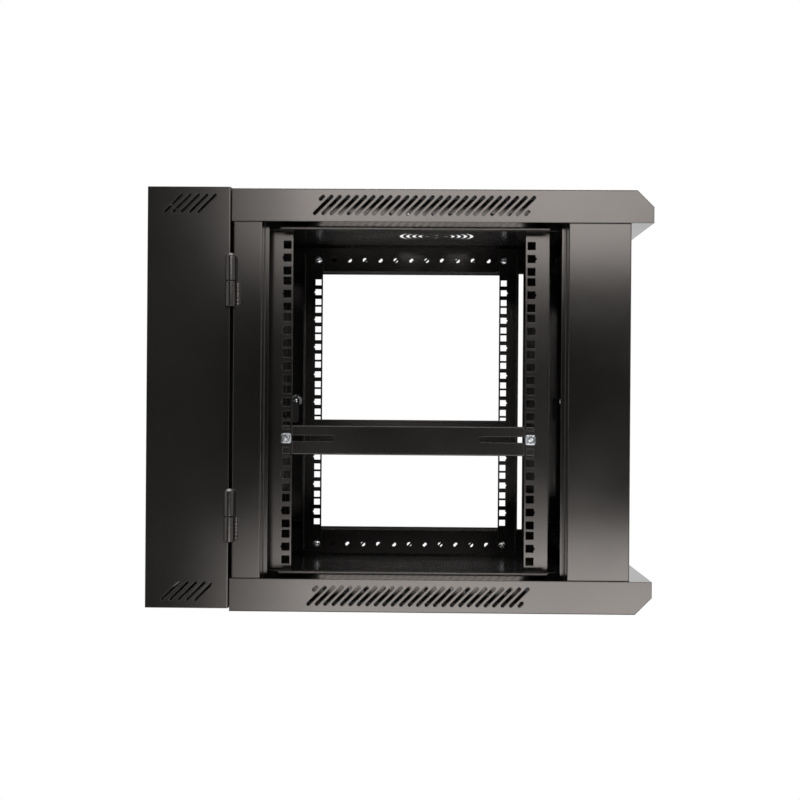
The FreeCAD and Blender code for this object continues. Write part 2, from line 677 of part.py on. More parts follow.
def rear_post(side):
    """A folded post: side face, frame flange behind, and the ledge of the side opening."""
    sign = SIDES[side]
    body = new_body(f"rear_post_{side}")
    section = sketch(body, "section", "XY_Plane")
    opening = f"-{POST_REAR} - rear_post"
    outline(section, [(f"{sign} * frame_edge", f"-{POST_REAR}"),
                      (f"{sign} * {HALF}", f"-{POST_REAR}"),
                      (f"{sign} * {HALF}", opening),
                      (f"{sign} * ({HALF} - post_return)", opening),
                      (f"{sign} * ({HALF} - post_return)", f"{opening} - post_ledge"),
                      (f"{sign} * ({HALF} - post_return - plate)", f"{opening} - post_ledge"),
                      (f"{sign} * ({HALF} - post_return - plate)", f"{opening} + plate"),
                      (f"{sign} * {INSIDE}", f"{opening} + plate"),
                      (f"{sign} * {INSIDE}", f"-{POST_REAR} - plate"),
                      (f"{sign} * frame_edge", f"-{POST_REAR} - plate")])
    post_height(body, section)
    round_bends(body, 2, [(f"{sign} * {HALF}", f"-{POST_REAR}"), (f"{sign} * {HALF}", opening)])
    post_ends(body, sign)
    seam_tabs(body, sign, f"-{POST_REAR} - plate", f"{opening} + plate")
    if side == "right":
        hook_way(body, f"-{POST_REAR} - 2 * plate", "3 * plate")
        lock_hole(body)


def seam_tabs(body, sign, rear, front):
    """Tabs behind the seams between the post's side face and the skirts of the covers."""
    tabs = sketch(body, "tabs", "YZ_Plane", offset=f"{sign} * {INSIDE} - ({sign} + 1) / 2 * plate")
    rectangle(tabs, front, rear, f"{OPENING_TOP} - post_tab", f"{OPENING_TOP} + post_tab_lap")
    rectangle(tabs, front, rear, f"-{OPENING_FOOT} - post_tab_lap", f"-{OPENING_FOOT} + post_tab")
    pad(body, tabs, "plate")


def lock_hole(body):
    hole = sketch(body, "lock_hole", "YZ_Plane", offset=f"{HALF} - post_return / 2")
    circle(hole, "-body_lock_back", "-body_lock_drop", "body_lock_barrel / 2")
    pocket(body, hole, "post_return")


def front_post(side):
    """A folded post: ledge of the side opening, side face, and the frame flange beside the door."""
    sign = SIDES[side]
    body = new_body(f"front_post_{side}")
    section = sketch(body, "section", "XY_Plane")
    opening = f"front_post - {POST_FRONT}"
    outline(section, [(f"{sign} * ({HALF} - post_return)", opening),
                      (f"{sign} * {HALF}", opening),
                      (f"{sign} * {HALF}", f"-{POST_FRONT}"),
                      (f"{sign} * (door_side - plate)", f"-{POST_FRONT}"),
                      (f"{sign} * (door_side - plate)", f"door_stop - {POST_FRONT}"),
                      (f"{sign} * door_side", f"door_stop - {POST_FRONT}"),
                      (f"{sign} * door_side", f"plate - {POST_FRONT}"),
                      (f"{sign} * {INSIDE}", f"plate - {POST_FRONT}"),
                      (f"{sign} * {INSIDE}", f"{opening} - plate"),
                      (f"{sign} * ({HALF} - post_return - plate)", f"{opening} - plate"),
                      (f"{sign} * ({HALF} - post_return - plate)", f"{opening} + post_ledge"),
                      (f"{sign} * ({HALF} - post_return)", f"{opening} + post_ledge")])
    post_height(body, section)
    round_bends(body, 2, [(f"{sign} * {HALF}", f"-{POST_FRONT}"), (f"{sign} * {HALF}", opening)])
    post_ends(body, sign)
    seam_tabs(body, sign, f"{opening} - plate", f"plate - {POST_FRONT}")
    nose = sketch(body, "nose", "YZ_Plane")
    behind = f"nose_return - {COVER_FRONT}"
    rectangle(nose, f"-{COVER_FRONT}", behind, OPENING_TOP, "body_top + plate")
    rectangle(nose, f"-{COVER_FRONT}", behind, "-body_foot - plate", f"-{OPENING_FOOT}")
    pocket(body, nose)


def depth_rail(floor, side):
    """A rail from front to back in a cover: web with a row of holes, flange and lip below it."""
    up, sign = FLOORS[floor], SIDES[side]
    body = new_body(f"depth_rail_{floor}_{side}")
    edge = OPENING_TOP if floor == "top" else f"-{OPENING_FOOT}"
    outer = f"{edge} - {up} * depth_rail_inset"
    inner = f"{outer} - {up} * steel"
    lip = f"{edge} - {up} * depth_rail_lip"
    rear = f"({POST_REAR} + plate)"
    web = sketch(body, "web", "XZ_Plane", offset=rear)
    outline(web, [(f"{sign} * rack_plane", inner),
                  (f"{sign} * (rack_plane + steel)", inner),
                  (f"{sign} * (rack_plane + steel)", f"{inner} + {up} * depth_rail_height"),
                  (f"{sign} * rack_plane", f"{inner} + {up} * depth_rail_height")])
    pad(body, web, f"{COVER_FRONT} - nose_return - {rear}")
    flange = sketch(body, "flange", "XZ_Plane", offset="flange_start")
    outline(flange, [(f"{sign} * (rack_plane + steel)", outer),
                     (f"{sign} * depth_rail_reach", outer),
                     (f"{sign} * depth_rail_reach", lip),
                     (f"{sign} * (depth_rail_reach - steel)", lip),
                     (f"{sign} * (depth_rail_reach - steel)", inner),
                     (f"{sign} * (rack_plane + steel)", inner)])
    pad(body, flange, "flange_end - flange_start")
    round_bends(body, 1, [(f"{sign} * depth_rail_reach", outer)])
    holes = sketch(body, "holes", "YZ_Plane")
    circle(holes, "-row_start", f"{up} * rail_screw_height - rack_drop", "row_hole / 2")
    row = pocket(body, holes)
    repeat(body, row, "Y_Axis", "row_pitch", "row_count", reverse=True)


def rack_rail(end, side):
    """A folded L rail with a square hole column on its face and a notched one on its side."""
    sign = SIDES[side]
    towards = "1" if end == "front" else "-1"
    column = COLUMNS[end]
    face = f"({column} - {towards} * (rack_side - side_hole))"
    body = new_body(f"rack_rail_{end}_{side}")
    section = sketch(body, "section", "XY_Plane", offset="-rack_drop")
    outline(section, [(f"{sign} * rack_plane", face),
                      (f"{sign} * rack_plane", f"{face} + {towards} * rack_side"),
                      (f"{sign} * (rack_plane - steel)", f"{face} + {towards} * rack_side"),
                      (f"{sign} * (rack_plane - steel)", f"{face} + {towards} * steel"),
                      (f"{sign} * (rack_plane - rack_face)", f"{face} + {towards} * steel"),
                      (f"{sign} * (rack_plane - rack_face)", face)])
    pad(body, section, "rack_length", both_ways=True)
    round_bends(body, 2, [(f"{sign} * rack_plane", face)])
    first = "-rack_drop - unit_height * (unit_count - 1) / 2"
    bolts = sketch(body, "bolts", "YZ_Plane")
    for up in FLOORS.values():
        circle(bolts, column, f"{up} * rail_screw_height - rack_drop", "row_hole / 2")
    pocket(body, bolts)
    unit_holes(body, "side", "YZ_Plane", column, first, f"-{towards}")
    unit_holes(body, "face", "XZ_Plane", f"{sign} * face_hole", first)


def unit_holes(body, name, plane, column, first, notch_side=None):
    """The three square holes of one rack unit, repeated for every unit."""
    unit = sketch(body, f"{name}_holes", plane)
    for step in ("-1", "0", "1"):
        middle = f"({first} + {step} * hole_step)"
        low_u, high_u = f"{column} - cage_hole / 2", f"{column} + cage_hole / 2"
        low_v, high_v = f"{middle} - cage_hole / 2", f"{middle} + cage_hole / 2"
        corners = [(low_u, low_v), (high_u, low_v), (high_u, high_v), (low_u, high_v)]
        if step == "0" and notch_side:
            side_u = f"{column} + {notch_side} * cage_hole / 2"
            tip = [(side_u, f"{middle} - notch"), (f"{side_u} + {notch_side} * notch", middle),
                   (side_u, f"{middle} + notch")]
            after = 2 if value(notch_side) > 0 else 4
            corners[after:after] = tip if after == 2 else tip[::-1]
        outline(unit, corners)
    cuts = pocket(body, unit)
    repeat(body, cuts, "Z_Axis", "unit_height", "unit_count")


def depth_brace(side):
    """A shallow channel between a front and a rear rail, slotted at both ends."""
    sign = SIDES[side]
    body = new_body(f"depth_brace_{side}")
    section = sketch(body, "section", "XZ_Plane", offset="brace_start")
    web = "(rack_plane - steel)"
    edge = f"{web} - brace_flange"
    low = f"-{BRACE_DROP} - brace_shift - brace_height / 2"
    high = f"{low} + brace_height"
    outline(section, [(f"{sign} * {web}", low),
                      (f"{sign} * {web}", high),
                      (f"{sign} * ({edge})", high),
                      (f"{sign} * ({edge})", f"{high} - steel"),
                      (f"{sign} * ({web} - steel)", f"{high} - steel"),
                      (f"{sign} * ({web} - steel)", f"{low} + steel"),
                      (f"{sign} * ({edge})", f"{low} + steel"),
                      (f"{sign} * ({edge})", low)])
    pad(body, section, "brace_end - brace_start")
    round_bends(body, 1, [(f"{sign} * {web}", low), (f"{sign} * {web}", high)])
    slots = sketch(body, "slots", "YZ_Plane")
    radius = "brace_slot / 2"
    slot(slots, (f"-brace_end + brace_slot_margin + {radius}", f"-{BRACE_DROP}"),
         (f"-brace_slot_front - {radius}", f"-{BRACE_DROP}"), radius)
    slot(slots, (f"-brace_slot_rear + {radius}", f"-{BRACE_DROP}"),
         (f"-brace_start - brace_slot_margin - {radius}", f"-{BRACE_DROP}"), radius)
    pocket(body, slots)


# Fasteners of the rack


def across(sign, near, far):
    """Two distances from the middle as low and high X on one side."""
    return sorted((f"{sign} * ({near})", f"{sign} * ({far})"), key=value)


def pan_screw(name, centre, sign, head_side):
    """A screw along X whose head sits on `head_side` and whose shank points outwards."""
    shank = rod(f"{name}_shank", "x", centre, *across(sign, head_side, f"{head_side} + screw_length"),
                "screw / 2")
    rim, crown = "screw_head / 2", "screw_crown / 2"
    radii = (crown, rim) if sign == "1" else (rim, crown)
    head = cone(f"{name}_head", "x", centre, *across(sign, f"{head_side} - screw_head_height", head_side),
                *radii)
    return fuse(name, shank, head)


def brace_fixings():
    """A cage nut outside each rail and its screw through the brace."""
    nuts, screws = [], []
    for side, sign in SIDES.items():
        for end, column in COLUMNS.items():
            name, centre = f"{end}_{side}", (column, f"-{BRACE_DROP}")
            cage = box(f"cage_{name}", across(sign, "rack_plane", "rack_plane + nut_height"),
                       (f"{column} - cage_depth / 2", f"{column} + cage_depth / 2"),
                       (f"-{BRACE_DROP} - cage_width / 2", f"-{BRACE_DROP} + cage_width / 2"))
            collar = box(f"collar_{name}", across(sign, "rack_plane - steel", "rack_plane"),
                         (f"{column} - cage_collar / 2", f"{column} + cage_collar / 2"),
                         (f"-{BRACE_DROP} - cage_collar / 2", f"-{BRACE_DROP} + cage_collar / 2"))
            bore = rod(f"bore_{name}", "x", centre,
                       *across(sign, "rack_plane - 2 * steel", "rack_plane + 2 * nut_height"), "nut_bore / 2")
            nuts.append(cut(f"cage_nut_{name}", fuse(f"cage_nut_body_{name}", cage, collar), bore))
            screws.append(pan_screw(f"brace_screw_{name}", centre, sign, "rack_plane - 2 * steel"))
    group("cage_nuts", nuts)
    group("brace_screws", screws)


def rail_fixings():
    """Screws and nuts that hold the rack rails to the depth rails."""
    nuts, screws = [], []
    for side, sign in SIDES.items():
        for end, column in COLUMNS.items():
            for floor, up in FLOORS.items():
                name, centre = f"{floor}_{end}_{side}", (column, f"{up} * rail_screw_height - rack_drop")
                screws.append(pan_screw(f"rail_screw_{name}", centre, sign, "rack_plane - steel"))
                seat = "(rack_plane + steel)"
                nut = hexagon(f"rail_nut_block_{name}", "x", centre,
                              *across(sign, seat, f"{seat} + nut_height"), "nut_width / 2 / cos(30)")
                bore = rod(f"rail_nut_bore_{name}", "x", centre,
                           *across(sign, f"{seat} - steel", f"{seat} + 2 * nut_height"), "nut_bore / 2")
                nuts.append(cut(f"rail_nut_{name}", nut, bore))
    group("rail_screws", screws)
    group("rail_nuts", nuts)


# Side hinges

def hinge_set():
    """Two weld-on barrel hinges: upper knuckles on the wall section, lower ones on the body."""
    upper, lower, pins = [], [], []
    centre = ("-hinge_out", "-hinge_back")
    for floor, sign in FLOORS.items():
        line = f"({sign} * hinge_height - hinge_drop)"
        above = (f"{line} + knuckle_gap / 2", f"{line} + knuckle_gap / 2 + knuckle_length")
        below = (f"{line} - knuckle_gap / 2 - knuckle_length", f"{line} - knuckle_gap / 2")
        upper.append(knuckle(f"wall_knuckle_{floor}", above, "1", "hinge_pin / 2"))
        lower.append(knuckle(f"body_knuckle_{floor}", below, "-1", "hinge_pin / 2 + running"))
        shank = rod(f"hinge_shank_{floor}", "z", centre, below[0], above[1], "hinge_pin / 2")
        cap = cone(f"hinge_cap_{floor}", "z", centre, above[1], f"{above[1]} + pin_cap",
                   "pin_cap_radius", "pin_cap_crown")
        pins.append(fuse(f"hinge_pin_{floor}", shank, cap))
    group("wall_hinge_knuckles", upper)
    group("body_hinge_knuckles", lower)
    group("hinge_pins", pins)


def knuckle(name, span, direction, bore):
    """A hinge barrel and the weld that joins it to the side behind or in front of it."""
    body = doc.addObject("PartDesign::Body", name)
    section = sketch(body, "section", "XY_Plane", offset=span[0])
    circle(section, "-hinge_out", "-hinge_back", "knuckle_radius")
    pad(body, section, f"({span[1]}) - ({span[0]})")
    weld = sketch(body, "weld", "XY_Plane", offset=span[0])
    outline(weld, [("-hinge_out", f"-hinge_back + {direction} * knuckle_radius"),
                   ("-hinge_out", "-hinge_back"),
                   (f"-{HALF}", "-hinge_back"),
                   (f"-{HALF}", f"-hinge_back + {direction} * weld")])
    pad(body, weld, f"({span[1]}) - ({span[0]})")
    hole = sketch(body, "hole", "XY_Plane", offset=span[0])
    circle(hole, "-hinge_out", "-hinge_back", bore)
    pocket(body, hole)
    return body


# Front door

def door_frame():
    """A welded frame of folded sheet, open behind, with a window and a lock hole."""
    body = new_body("door_frame")
    low, high = f"-{OPENING_FOOT} + door_gap", f"{OPENING_TOP} - door_gap"
    block = sketch(body, "block", "XZ_Plane", offset="door_front - door_depth")
    rectangle(block, "-door_left", "door_right", low, high)
    rectangle(block, "-door_left + door_border", "door_right - door_border",
              f"{low} + door_border", f"{high} - door_border")
    pad(body, block, "door_depth")
    channel = sketch(body, "channel", "XZ_Plane", offset="door_front - door_depth")
    rectangle(channel, "-door_left + plate", "door_right - plate", f"{low} + plate", f"{high} - plate")
    fold = "(door_border - plate)"
    rectangle(channel, f"-door_left + {fold}", f"door_right - {fold}", f"{low} + {fold}", f"{high} - {fold}")
    pocket(body, channel, "door_depth - plate")
    step = sketch(body, "step", "XZ_Plane", offset="door_front - door_depth")
    rectangle(step, "-door_left + 2 * plate", "door_right - 2 * plate",
              f"{low} + 2 * plate", f"{high} - 2 * plate")
    pocket(body, step, "door_depth - window_return")
    lock = sketch(body, "lock", "XZ_Plane", offset="door_front - 4 * plate")
    circle(lock, "door_lock_side", BODY_MIDDLE, "door_lock_barrel / 2")
    pocket(body, lock, "door_depth")
    pivots = sketch(body, "pivots", "XY_Plane")
    circle(pivots, "-door_axis", "-door_axis_back", "door_pin / 2")
    pocket(body, pivots)


def door_pane(label, start, thickness, margin, hole_margin=None):
    """A sheet in the window that reaches past the window's edge by `margin`."""
    body = new_body(label)
    low, high = f"-{OPENING_FOOT} + door_gap + door_border", f"{OPENING_TOP} - door_gap - door_border"
    face = sketch(body, "face", "XZ_Plane", offset=f"{start} - {thickness}")
    left, right = "-door_left + door_border", "door_right - door_border"
    rectangle(face, f"{left} - {margin}", f"{right} + {margin}", f"{low} - {margin}", f"{high} + {margin}")
    if hole_margin:
        rectangle(face, f"{left} - {hole_margin}", f"{right} + {hole_margin}",
                  f"{low} - {hole_margin}", f"{high} + {hole_margin}")
    pad(body, face, thickness)


def door_pins():
    """Pivot pins in the top and bottom of the door, each with a collar under the cover."""
    pins = []
    centre = ("-door_axis", "-door_axis_back")
    for floor, sign in FLOORS.items():
        edge = f"({OPENING_TOP} - door_gap)" if floor == "top" else f"(door_gap - {OPENING_FOOT})"
        tip = f"{edge} + {sign} * door_pin_tip"
        shank = sorted((f"{tip} - {sign} * door_pin_length", tip), key=value)
        collar = sorted((edge, f"{edge} + {sign} * door_collar_height"), key=value)
        pins.append(fuse(f"door_pin_{floor}",
                         rod(f"door_pin_shank_{floor}", "z", centre, *shank, "door_pin / 2"),
                         rod(f"door_pin_collar_{floor}", "z", centre, *collar, "door_collar / 2")))
    group("door_pivot_pins", pins)


# Locks

def lock_set(name, axis, centre, face, outwards, plug_length):
    """Housing, nut and turning plug of a lock on a sheet whose outer face is at `face`."""
    def span(first, last):
        return sorted((f"{face} + {outwards} * ({first})", f"{face} + {outwards} * ({last})"), key=value)

    barrel = rod(f"{name}_barrel", axis, centre, *span(f"-({plug_length}) + cam_sheet / 2", "0"),
                 f"{name}_barrel / 2 - lock_fit")
    head_radii = [f"{name}_head / 2", f"{name}_head / 2 - lock_head_taper"]
    head = cone(f"{name}_head", axis, centre, *span("0", "lock_head_height"),
                *(head_radii if outwards == "1" else head_radii[::-1]))
    bore = rod(f"{name}_bore", axis, centre, *span(f"-2 * ({plug_length})", "2 * lock_head_height"),
               f"{name}_core / 2 + running")
    node(cut(f"{name}_housing", fuse(f"{name}_housing_body", barrel, head), bore), f"{name}_housing")
    block = hexagon(f"{name}_nut_block", axis, centre, *span("-plate - lock_nut_height", "-plate"),
                    f"{name}_nut / 2")
    thread = rod(f"{name}_nut_thread", axis, centre, *span("-plate - 2 * lock_nut_height", "0"),
                 f"{name}_barrel / 2")
    node(cut(f"{name}_nut", block, thread), f"{name}_nut")
    core = rod(f"{name}_core", axis, centre, *span(f"-({plug_length})", "lock_head_height - plug_recess"),
               f"{name}_core / 2")
    spot = [f"{part}" for part in centre]
    spot.insert("xyz".index(axis), face)
    key_sides = []
    for letter, where in zip("xyz", spot):
        if letter == axis:
            key_sides.append(span("lock_head_height - keyway_depth", "lock_head_height"))
        else:
            half = "keyway_height / 2" if letter == "z" else "keyway_width / 2"
            key_sides.append((f"{where} - {half}", f"{where} + {half}"))
    keyway = box(f"{name}_keyway", *key_sides)
    node(cut(f"{name}_plug", core, keyway), f"{name}_plug")


def door_lock():
    """The door's lock and its straight cam, hanging down when unlocked."""
    centre = ("door_lock_side", BODY_MIDDLE)
    length = "(door_depth + cam_sheet / 2 - plug_recess)"
    lock_set("door_lock", "y", centre, "-door_front", "-1", length)
    body = new_body("door_lock_cam")
    plate_face = f"door_front - {length} - cam_sheet"
    strip = sketch(body, "strip", "XZ_Plane", offset=plate_face)
    slot(strip, centre, (centre[0], f"{centre[1]} - door_cam_reach + cam_width / 2"), "cam_width / 2")
    pad(body, strip, "cam_sheet")
    back = f"-({plate_face})"
    node(cone("door_lock_screw", "y", centre, back, f"{back} + cam_screw_height",
              "cam_screw_head / 2", "cam_screw_crown / 2"), "door_lock_screw")


def body_lock():
    """The lock between the sections: its hook hangs down when unlocked and claws behind the flange."""
    centre = ("-body_lock_back", "-body_lock_drop")
    lock_set("body_lock", "x", centre, HALF, "1", "body_lock_length")
    body = new_body("body_lock_hook")
    low = f"{HALF} - body_lock_length - cam_sheet"
    hook = sketch(body, "arm", "YZ_Plane", offset=low)
    slot(hook, centre, (centre[0], f"{centre[1]} - hook_reach + cam_width / 2"), "cam_width / 2")
    pad(body, hook, "cam_sheet")
    claw = sketch(body, "claw", "YZ_Plane", offset=low)
    middle = "(hook_reach - hook_claw / 2)"
    ring_slot(claw, centre, middle, "hook_claw", "(270 + hook_angle / 2)",
              "(hook_angle / 2 - claw_end)")
    pad(body, claw, "cam_sheet")
    node(cone("body_lock_screw", "x", centre, f"{low} - cam_screw_height", low,
              "cam_screw_crown / 2", "cam_screw_head / 2"), "body_lock_screw")


wall_back_plate()
for side in SIDES:
    wall_side(side)
for floor in FLOORS:
    wall_cap(floor)
    blanking_plate(floor)
blanking_screws()
for floor in FLOORS:
    cover(floor)
for side in SIDES:
    rear_post(side)
    front_post(side)
    depth_brace(side)
    for floor in FLOORS:
        depth_rail(floor, side)
    for end in COLUMNS:
        rack_rail(end, side)
brace_fixings()
rail_fixings()
hinge_set()
door_frame()
door_pane("door_gasket", "(door_front - window_return)", "gasket", "gasket_width", "plate / 2")
door_pane("door_glass", "(door_front - window_return - gasket)", "glass", "gasket_width")
door_pins()
door_lock()
body_lock()
doc.recompute()

# Every object has to be sound, and every cut has to remove something
for thing in doc.Objects:
    if "Invalid" in thing.State or "Error" in thing.State:
        raise RuntimeError(f"{thing.Label}: {thing.State}")
    if thing.TypeId == "PartDesign::Pocket" and thing.Shape.Volume > thing.BaseFeature.Shape.Volume - 1:
        raise RuntimeError(f"{thing.Label} cuts nothing")

os.makedirs("parts", exist_ok=True)
for part in nodes:
    shape = part.Shape
    if shape.isNull() or not shape.isValid() or not shape.Solids:
        raise RuntimeError(f"{part.Label} has no sound shape")
    shape.exportStep(f"parts/{part.Label}.step")
    print(part.Label, len(shape.Solids), "solids,", round(shape.Volume / 1000, 2), "cm3")
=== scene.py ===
# %% [markdown]
# # A nine-unit wall cabinet for network equipment
# The cabinet is bent from sheet steel and painted with black powder. This lesson dresses the
# finished solids. It loads them, paints every piece with a finish made of nodes, models the small
# hardware whose detail a plain solid lacks, and lights the whole in a white studio.

# %% Load the solids
import json
import math

import bmesh
import bpy
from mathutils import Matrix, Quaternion, Vector


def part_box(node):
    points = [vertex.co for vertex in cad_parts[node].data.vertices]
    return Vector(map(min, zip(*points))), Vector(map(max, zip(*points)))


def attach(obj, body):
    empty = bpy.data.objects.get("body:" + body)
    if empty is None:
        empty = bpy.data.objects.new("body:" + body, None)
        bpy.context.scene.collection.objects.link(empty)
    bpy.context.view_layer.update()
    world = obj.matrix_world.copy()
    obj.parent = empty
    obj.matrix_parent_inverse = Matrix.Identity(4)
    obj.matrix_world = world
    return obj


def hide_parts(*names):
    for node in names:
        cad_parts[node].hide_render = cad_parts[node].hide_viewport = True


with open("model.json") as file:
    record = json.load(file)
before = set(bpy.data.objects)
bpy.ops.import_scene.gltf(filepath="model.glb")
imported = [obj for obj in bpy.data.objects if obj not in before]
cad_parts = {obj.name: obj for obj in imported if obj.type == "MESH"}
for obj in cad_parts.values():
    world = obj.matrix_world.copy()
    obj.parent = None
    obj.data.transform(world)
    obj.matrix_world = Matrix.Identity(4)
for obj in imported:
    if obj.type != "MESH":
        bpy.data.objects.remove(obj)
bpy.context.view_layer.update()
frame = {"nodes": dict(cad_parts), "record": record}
nodes = frame["nodes"]
print("pieces loaded:", len(nodes))

# %% [markdown]
# ## Small helpers for materials
# A finish is a chain of nodes. Each finish below starts from the same two things: a new material
# with its shader, and a texture that is fixed to the piece by its own coordinates, so that the
# grain stays on the metal when the cabinet swings.

# %% Helpers for finishes


def new_finish(name):
    """A material with its node tree, its shader and the coordinates of the piece."""
    material = bpy.data.materials.new(name)
    material.use_nodes = True
    tree = material.node_tree
    shader = tree.nodes["Principled BSDF"]
    place = tree.nodes.new("ShaderNodeTexCoord")
    return material, tree, shader, place.outputs["Object"]


def noise(tree, where, scale, detail=4.0):
    """A cloud texture; scale counts the clouds in a metre."""
    cloud = tree.nodes.new("ShaderNodeTexNoise")
    cloud.inputs["Scale"].default_value = scale
    cloud.inputs["Detail"].default_value = detail
    tree.links.new(where, cloud.inputs["Vector"])
    return cloud.outputs["Fac"]


def blend_colours(tree, amount, low, high):
    """Two colours mixed by a texture."""
    mix = tree.nodes.new("ShaderNodeMix")
    mix.data_type = "RGBA"
    mix.inputs["A"].default_value = (*low, 1)
    mix.inputs["B"].default_value = (*high, 1)
    tree.links.new(amount, mix.inputs["Factor"])
    return mix.outputs["Result"]


def spread(tree, amount, low, high, first=0.0, last=1.0):
    """A value from first to last turned into low to high, and held at both ends."""
    ramp = tree.nodes.new("ShaderNodeMapRange")
    ramp.interpolation_type = "SMOOTHSTEP"
    ramp.inputs["From Min"].default_value = first
    ramp.inputs["From Max"].default_value = last
    ramp.inputs["To Min"].default_value = low
    ramp.inputs["To Max"].default_value = high
    tree.links.new(amount, ramp.inputs["Value"])
    return ramp.outputs["Result"]


def bump(tree, shader, height, depth, strength, rounding=0.0):
    """Raises the surface by depth metres where height is 1, over edges rounded by the paint."""
    relief = tree.nodes.new("ShaderNodeBump")
    if rounding:
        edges = tree.nodes.new("ShaderNodeBevel")
        edges.samples = 4
        edges.inputs["Radius"].default_value = rounding
        tree.links.new(edges.outputs["Normal"], relief.inputs["Normal"])
    relief.inputs["Distance"].default_value = depth
    relief.inputs["Strength"].default_value = strength
    tree.links.new(height, relief.inputs["Height"])
    tree.links.new(relief.outputs["Normal"], shader.inputs["Normal"])


# %% [markdown]
# ## Powder coat
# The sheet steel is sprayed with dry powder and baked. The film is a smooth, near-black brown with
# a clear gloss, and close up it has a fine orange peel: low, soft bumps about a millimetre across.
# A flat black would look like plastic, so the film gets that peel, and its gloss drifts over a
# hand's width, where the powder lay thicker or a hand has wiped it. The warm tint sits in the
# reflection, as it does on real bronze-black powder. Little powder reaches into seams and tight
# corners, so the film there is thin and dull, which draws the dark line between two panels. The
# film also rounds every cut edge a little, so an edge catches a thin line of light.

# %% Powder coat
DRIFT_SCALE = 9.0
PEEL_SCALE = 900.0
PEEL_DEPTH = 0.00003
PEEL_STRENGTH = 0.25
SEAM_REACH = 0.003
EDGE_ROUNDING = 0.0012


def powder_coat(name, dark, light, rough, tint, gloss=0.65, dulling=0.65):
    """Baked powder paint: colour, gloss, dull seams and a fine orange peel."""
    material, tree, shader, where = new_finish(name)
    shader.inputs["Specular IOR Level"].default_value = gloss
    shader.inputs["Specular Tint"].default_value = (*tint, 1)
    drift = noise(tree, where, DRIFT_SCALE, 3.0)
    tree.links.new(blend_colours(tree, drift, dark, light), shader.inputs["Base Color"])
    seam = tree.nodes.new("ShaderNodeAmbientOcclusion")
    seam.samples = 8
    seam.inputs["Distance"].default_value = SEAM_REACH
    wiped = spread(tree, drift, rough - 0.015, rough + 0.02, 0.3, 0.7)
    thin = spread(tree, seam.outputs["AO"], dulling, 0.0, 0.25, 0.75)
    dull = tree.nodes.new("ShaderNodeMath")
    dull.operation = "ADD"
    tree.links.new(wiped, dull.inputs[0])
    tree.links.new(thin, dull.inputs[1])
    tree.links.new(dull.outputs["Value"], shader.inputs["Roughness"])
    peel = noise(tree, where, PEEL_SCALE, 2.0)
    bump(tree, shader, peel, PEEL_DEPTH, PEEL_STRENGTH, EDGE_ROUNDING)
    return material


WARM = (1.0, 0.92, 0.87)
NEUTRAL = (1, 1, 1)
BODY_PAINT = powder_coat(
    "body powder coat", (0.0040, 0.0040, 0.0038), (0.0056, 0.0055, 0.0052), 0.165, WARM
)
RAIL_PAINT = powder_coat(
    "rail powder coat", (0.0038, 0.0038, 0.0036), (0.0054, 0.0053, 0.0050), 0.180, WARM
)
# The cams are coloured near black, so that they sink into the dark inside of the cabinet.
CAM_BLACK = powder_coat(
    "near black cam coat", (0.0040, 0.0040, 0.0043), (0.0080, 0.0080, 0.0084), 0.30, NEUTRAL, 0.5
)
print("paints:", BODY_PAINT.name, RAIL_PAINT.name, CAM_BLACK.name)

# %% [markdown]
# ## Plated metal
# Screws, nuts and cage nuts are zinc plated: a blue-white metal with faint milky patches and a
# fine grain from the barrel that they tumble in. The zinc is made in two tones of painted light:
# the screws' copy is painted brighter, a painted highlight, and the nuts' copy is painted darker,
# a painted shade; the nuts, bent from spring steel, are also a little rougher. Locks have smoother
# nickel.

# %% Plated metal
PATCH_SCALE = 260.0
GRAIN_SCALE = 1600.0
GRAIN_DEPTH = 0.00003
GRAIN_STRENGTH = 0.4


def plated_metal(name, low, high, rough):
    """A plated metal with milky patches and a fine tumbled grain."""
    material, tree, shader, where = new_finish(name)
    shader.inputs["Metallic"].default_value = 1.0
    patches = noise(tree, where, PATCH_SCALE, 3.0)
    tree.links.new(blend_colours(tree, patches, low, high), shader.inputs["Base Color"])
    milky = spread(tree, patches, rough - 0.06, rough + 0.08, 0.3, 0.7)
    tree.links.new(milky, shader.inputs["Roughness"])
    grain = noise(tree, where, GRAIN_SCALE, 3.0)
    bump(tree, shader, grain, GRAIN_DEPTH, GRAIN_STRENGTH)
    return material


# Two copies of one zinc: painted darker as painted shade, and painted brighter as a painted
# highlight.
ZINC_PAINTED_DARKER = plated_metal("zinc plate", (0.30, 0.32, 0.34), (0.48, 0.50, 0.52), 0.27)
ZINC_PAINTED_BRIGHTER = plated_metal("bright zinc plate", (0.60, 0.62, 0.64), (0.80, 0.82, 0.84), 0.24)
LOCK_METAL = plated_metal("lock nickel plate", (0.58, 0.58, 0.57), (0.72, 0.71, 0.69), 0.25)
PIN_STEEL = plated_metal("hinge steel", (0.38, 0.37, 0.36), (0.52, 0.51, 0.49), 0.30)
print("metals:", ZINC_PAINTED_DARKER.name, ZINC_PAINTED_BRIGHTER.name, LOCK_METAL.name, PIN_STEEL.name)

# %% [markdown]
# ## Foam tape and glass
# The glass of the door lies on a strip of black foam tape. The glass is clear with a slight grey
# tint, and faint smears change its gloss.

# %% Foam tape and glass
PORE_SCALE = 1500.0
PORE_DEPTH = 0.0001
PORE_STRENGTH = 0.6
SMEAR_SCALE = 14.0
GLASS_IOR = 1.5


def foam_tape():
    """Matt black foam with open pores."""
    material, tree, shader, where = new_finish("foam tape")
    pores = noise(tree, where, PORE_SCALE)
    black = blend_colours(tree, pores, (0.008, 0.008, 0.008), (0.03, 0.03, 0.03))
    tree.links.new(black, shader.inputs["Base Color"])
    shader.inputs["Roughness"].default_value = 0.9
    bump(tree, shader, pores, PORE_DEPTH, PORE_STRENGTH)
    return material


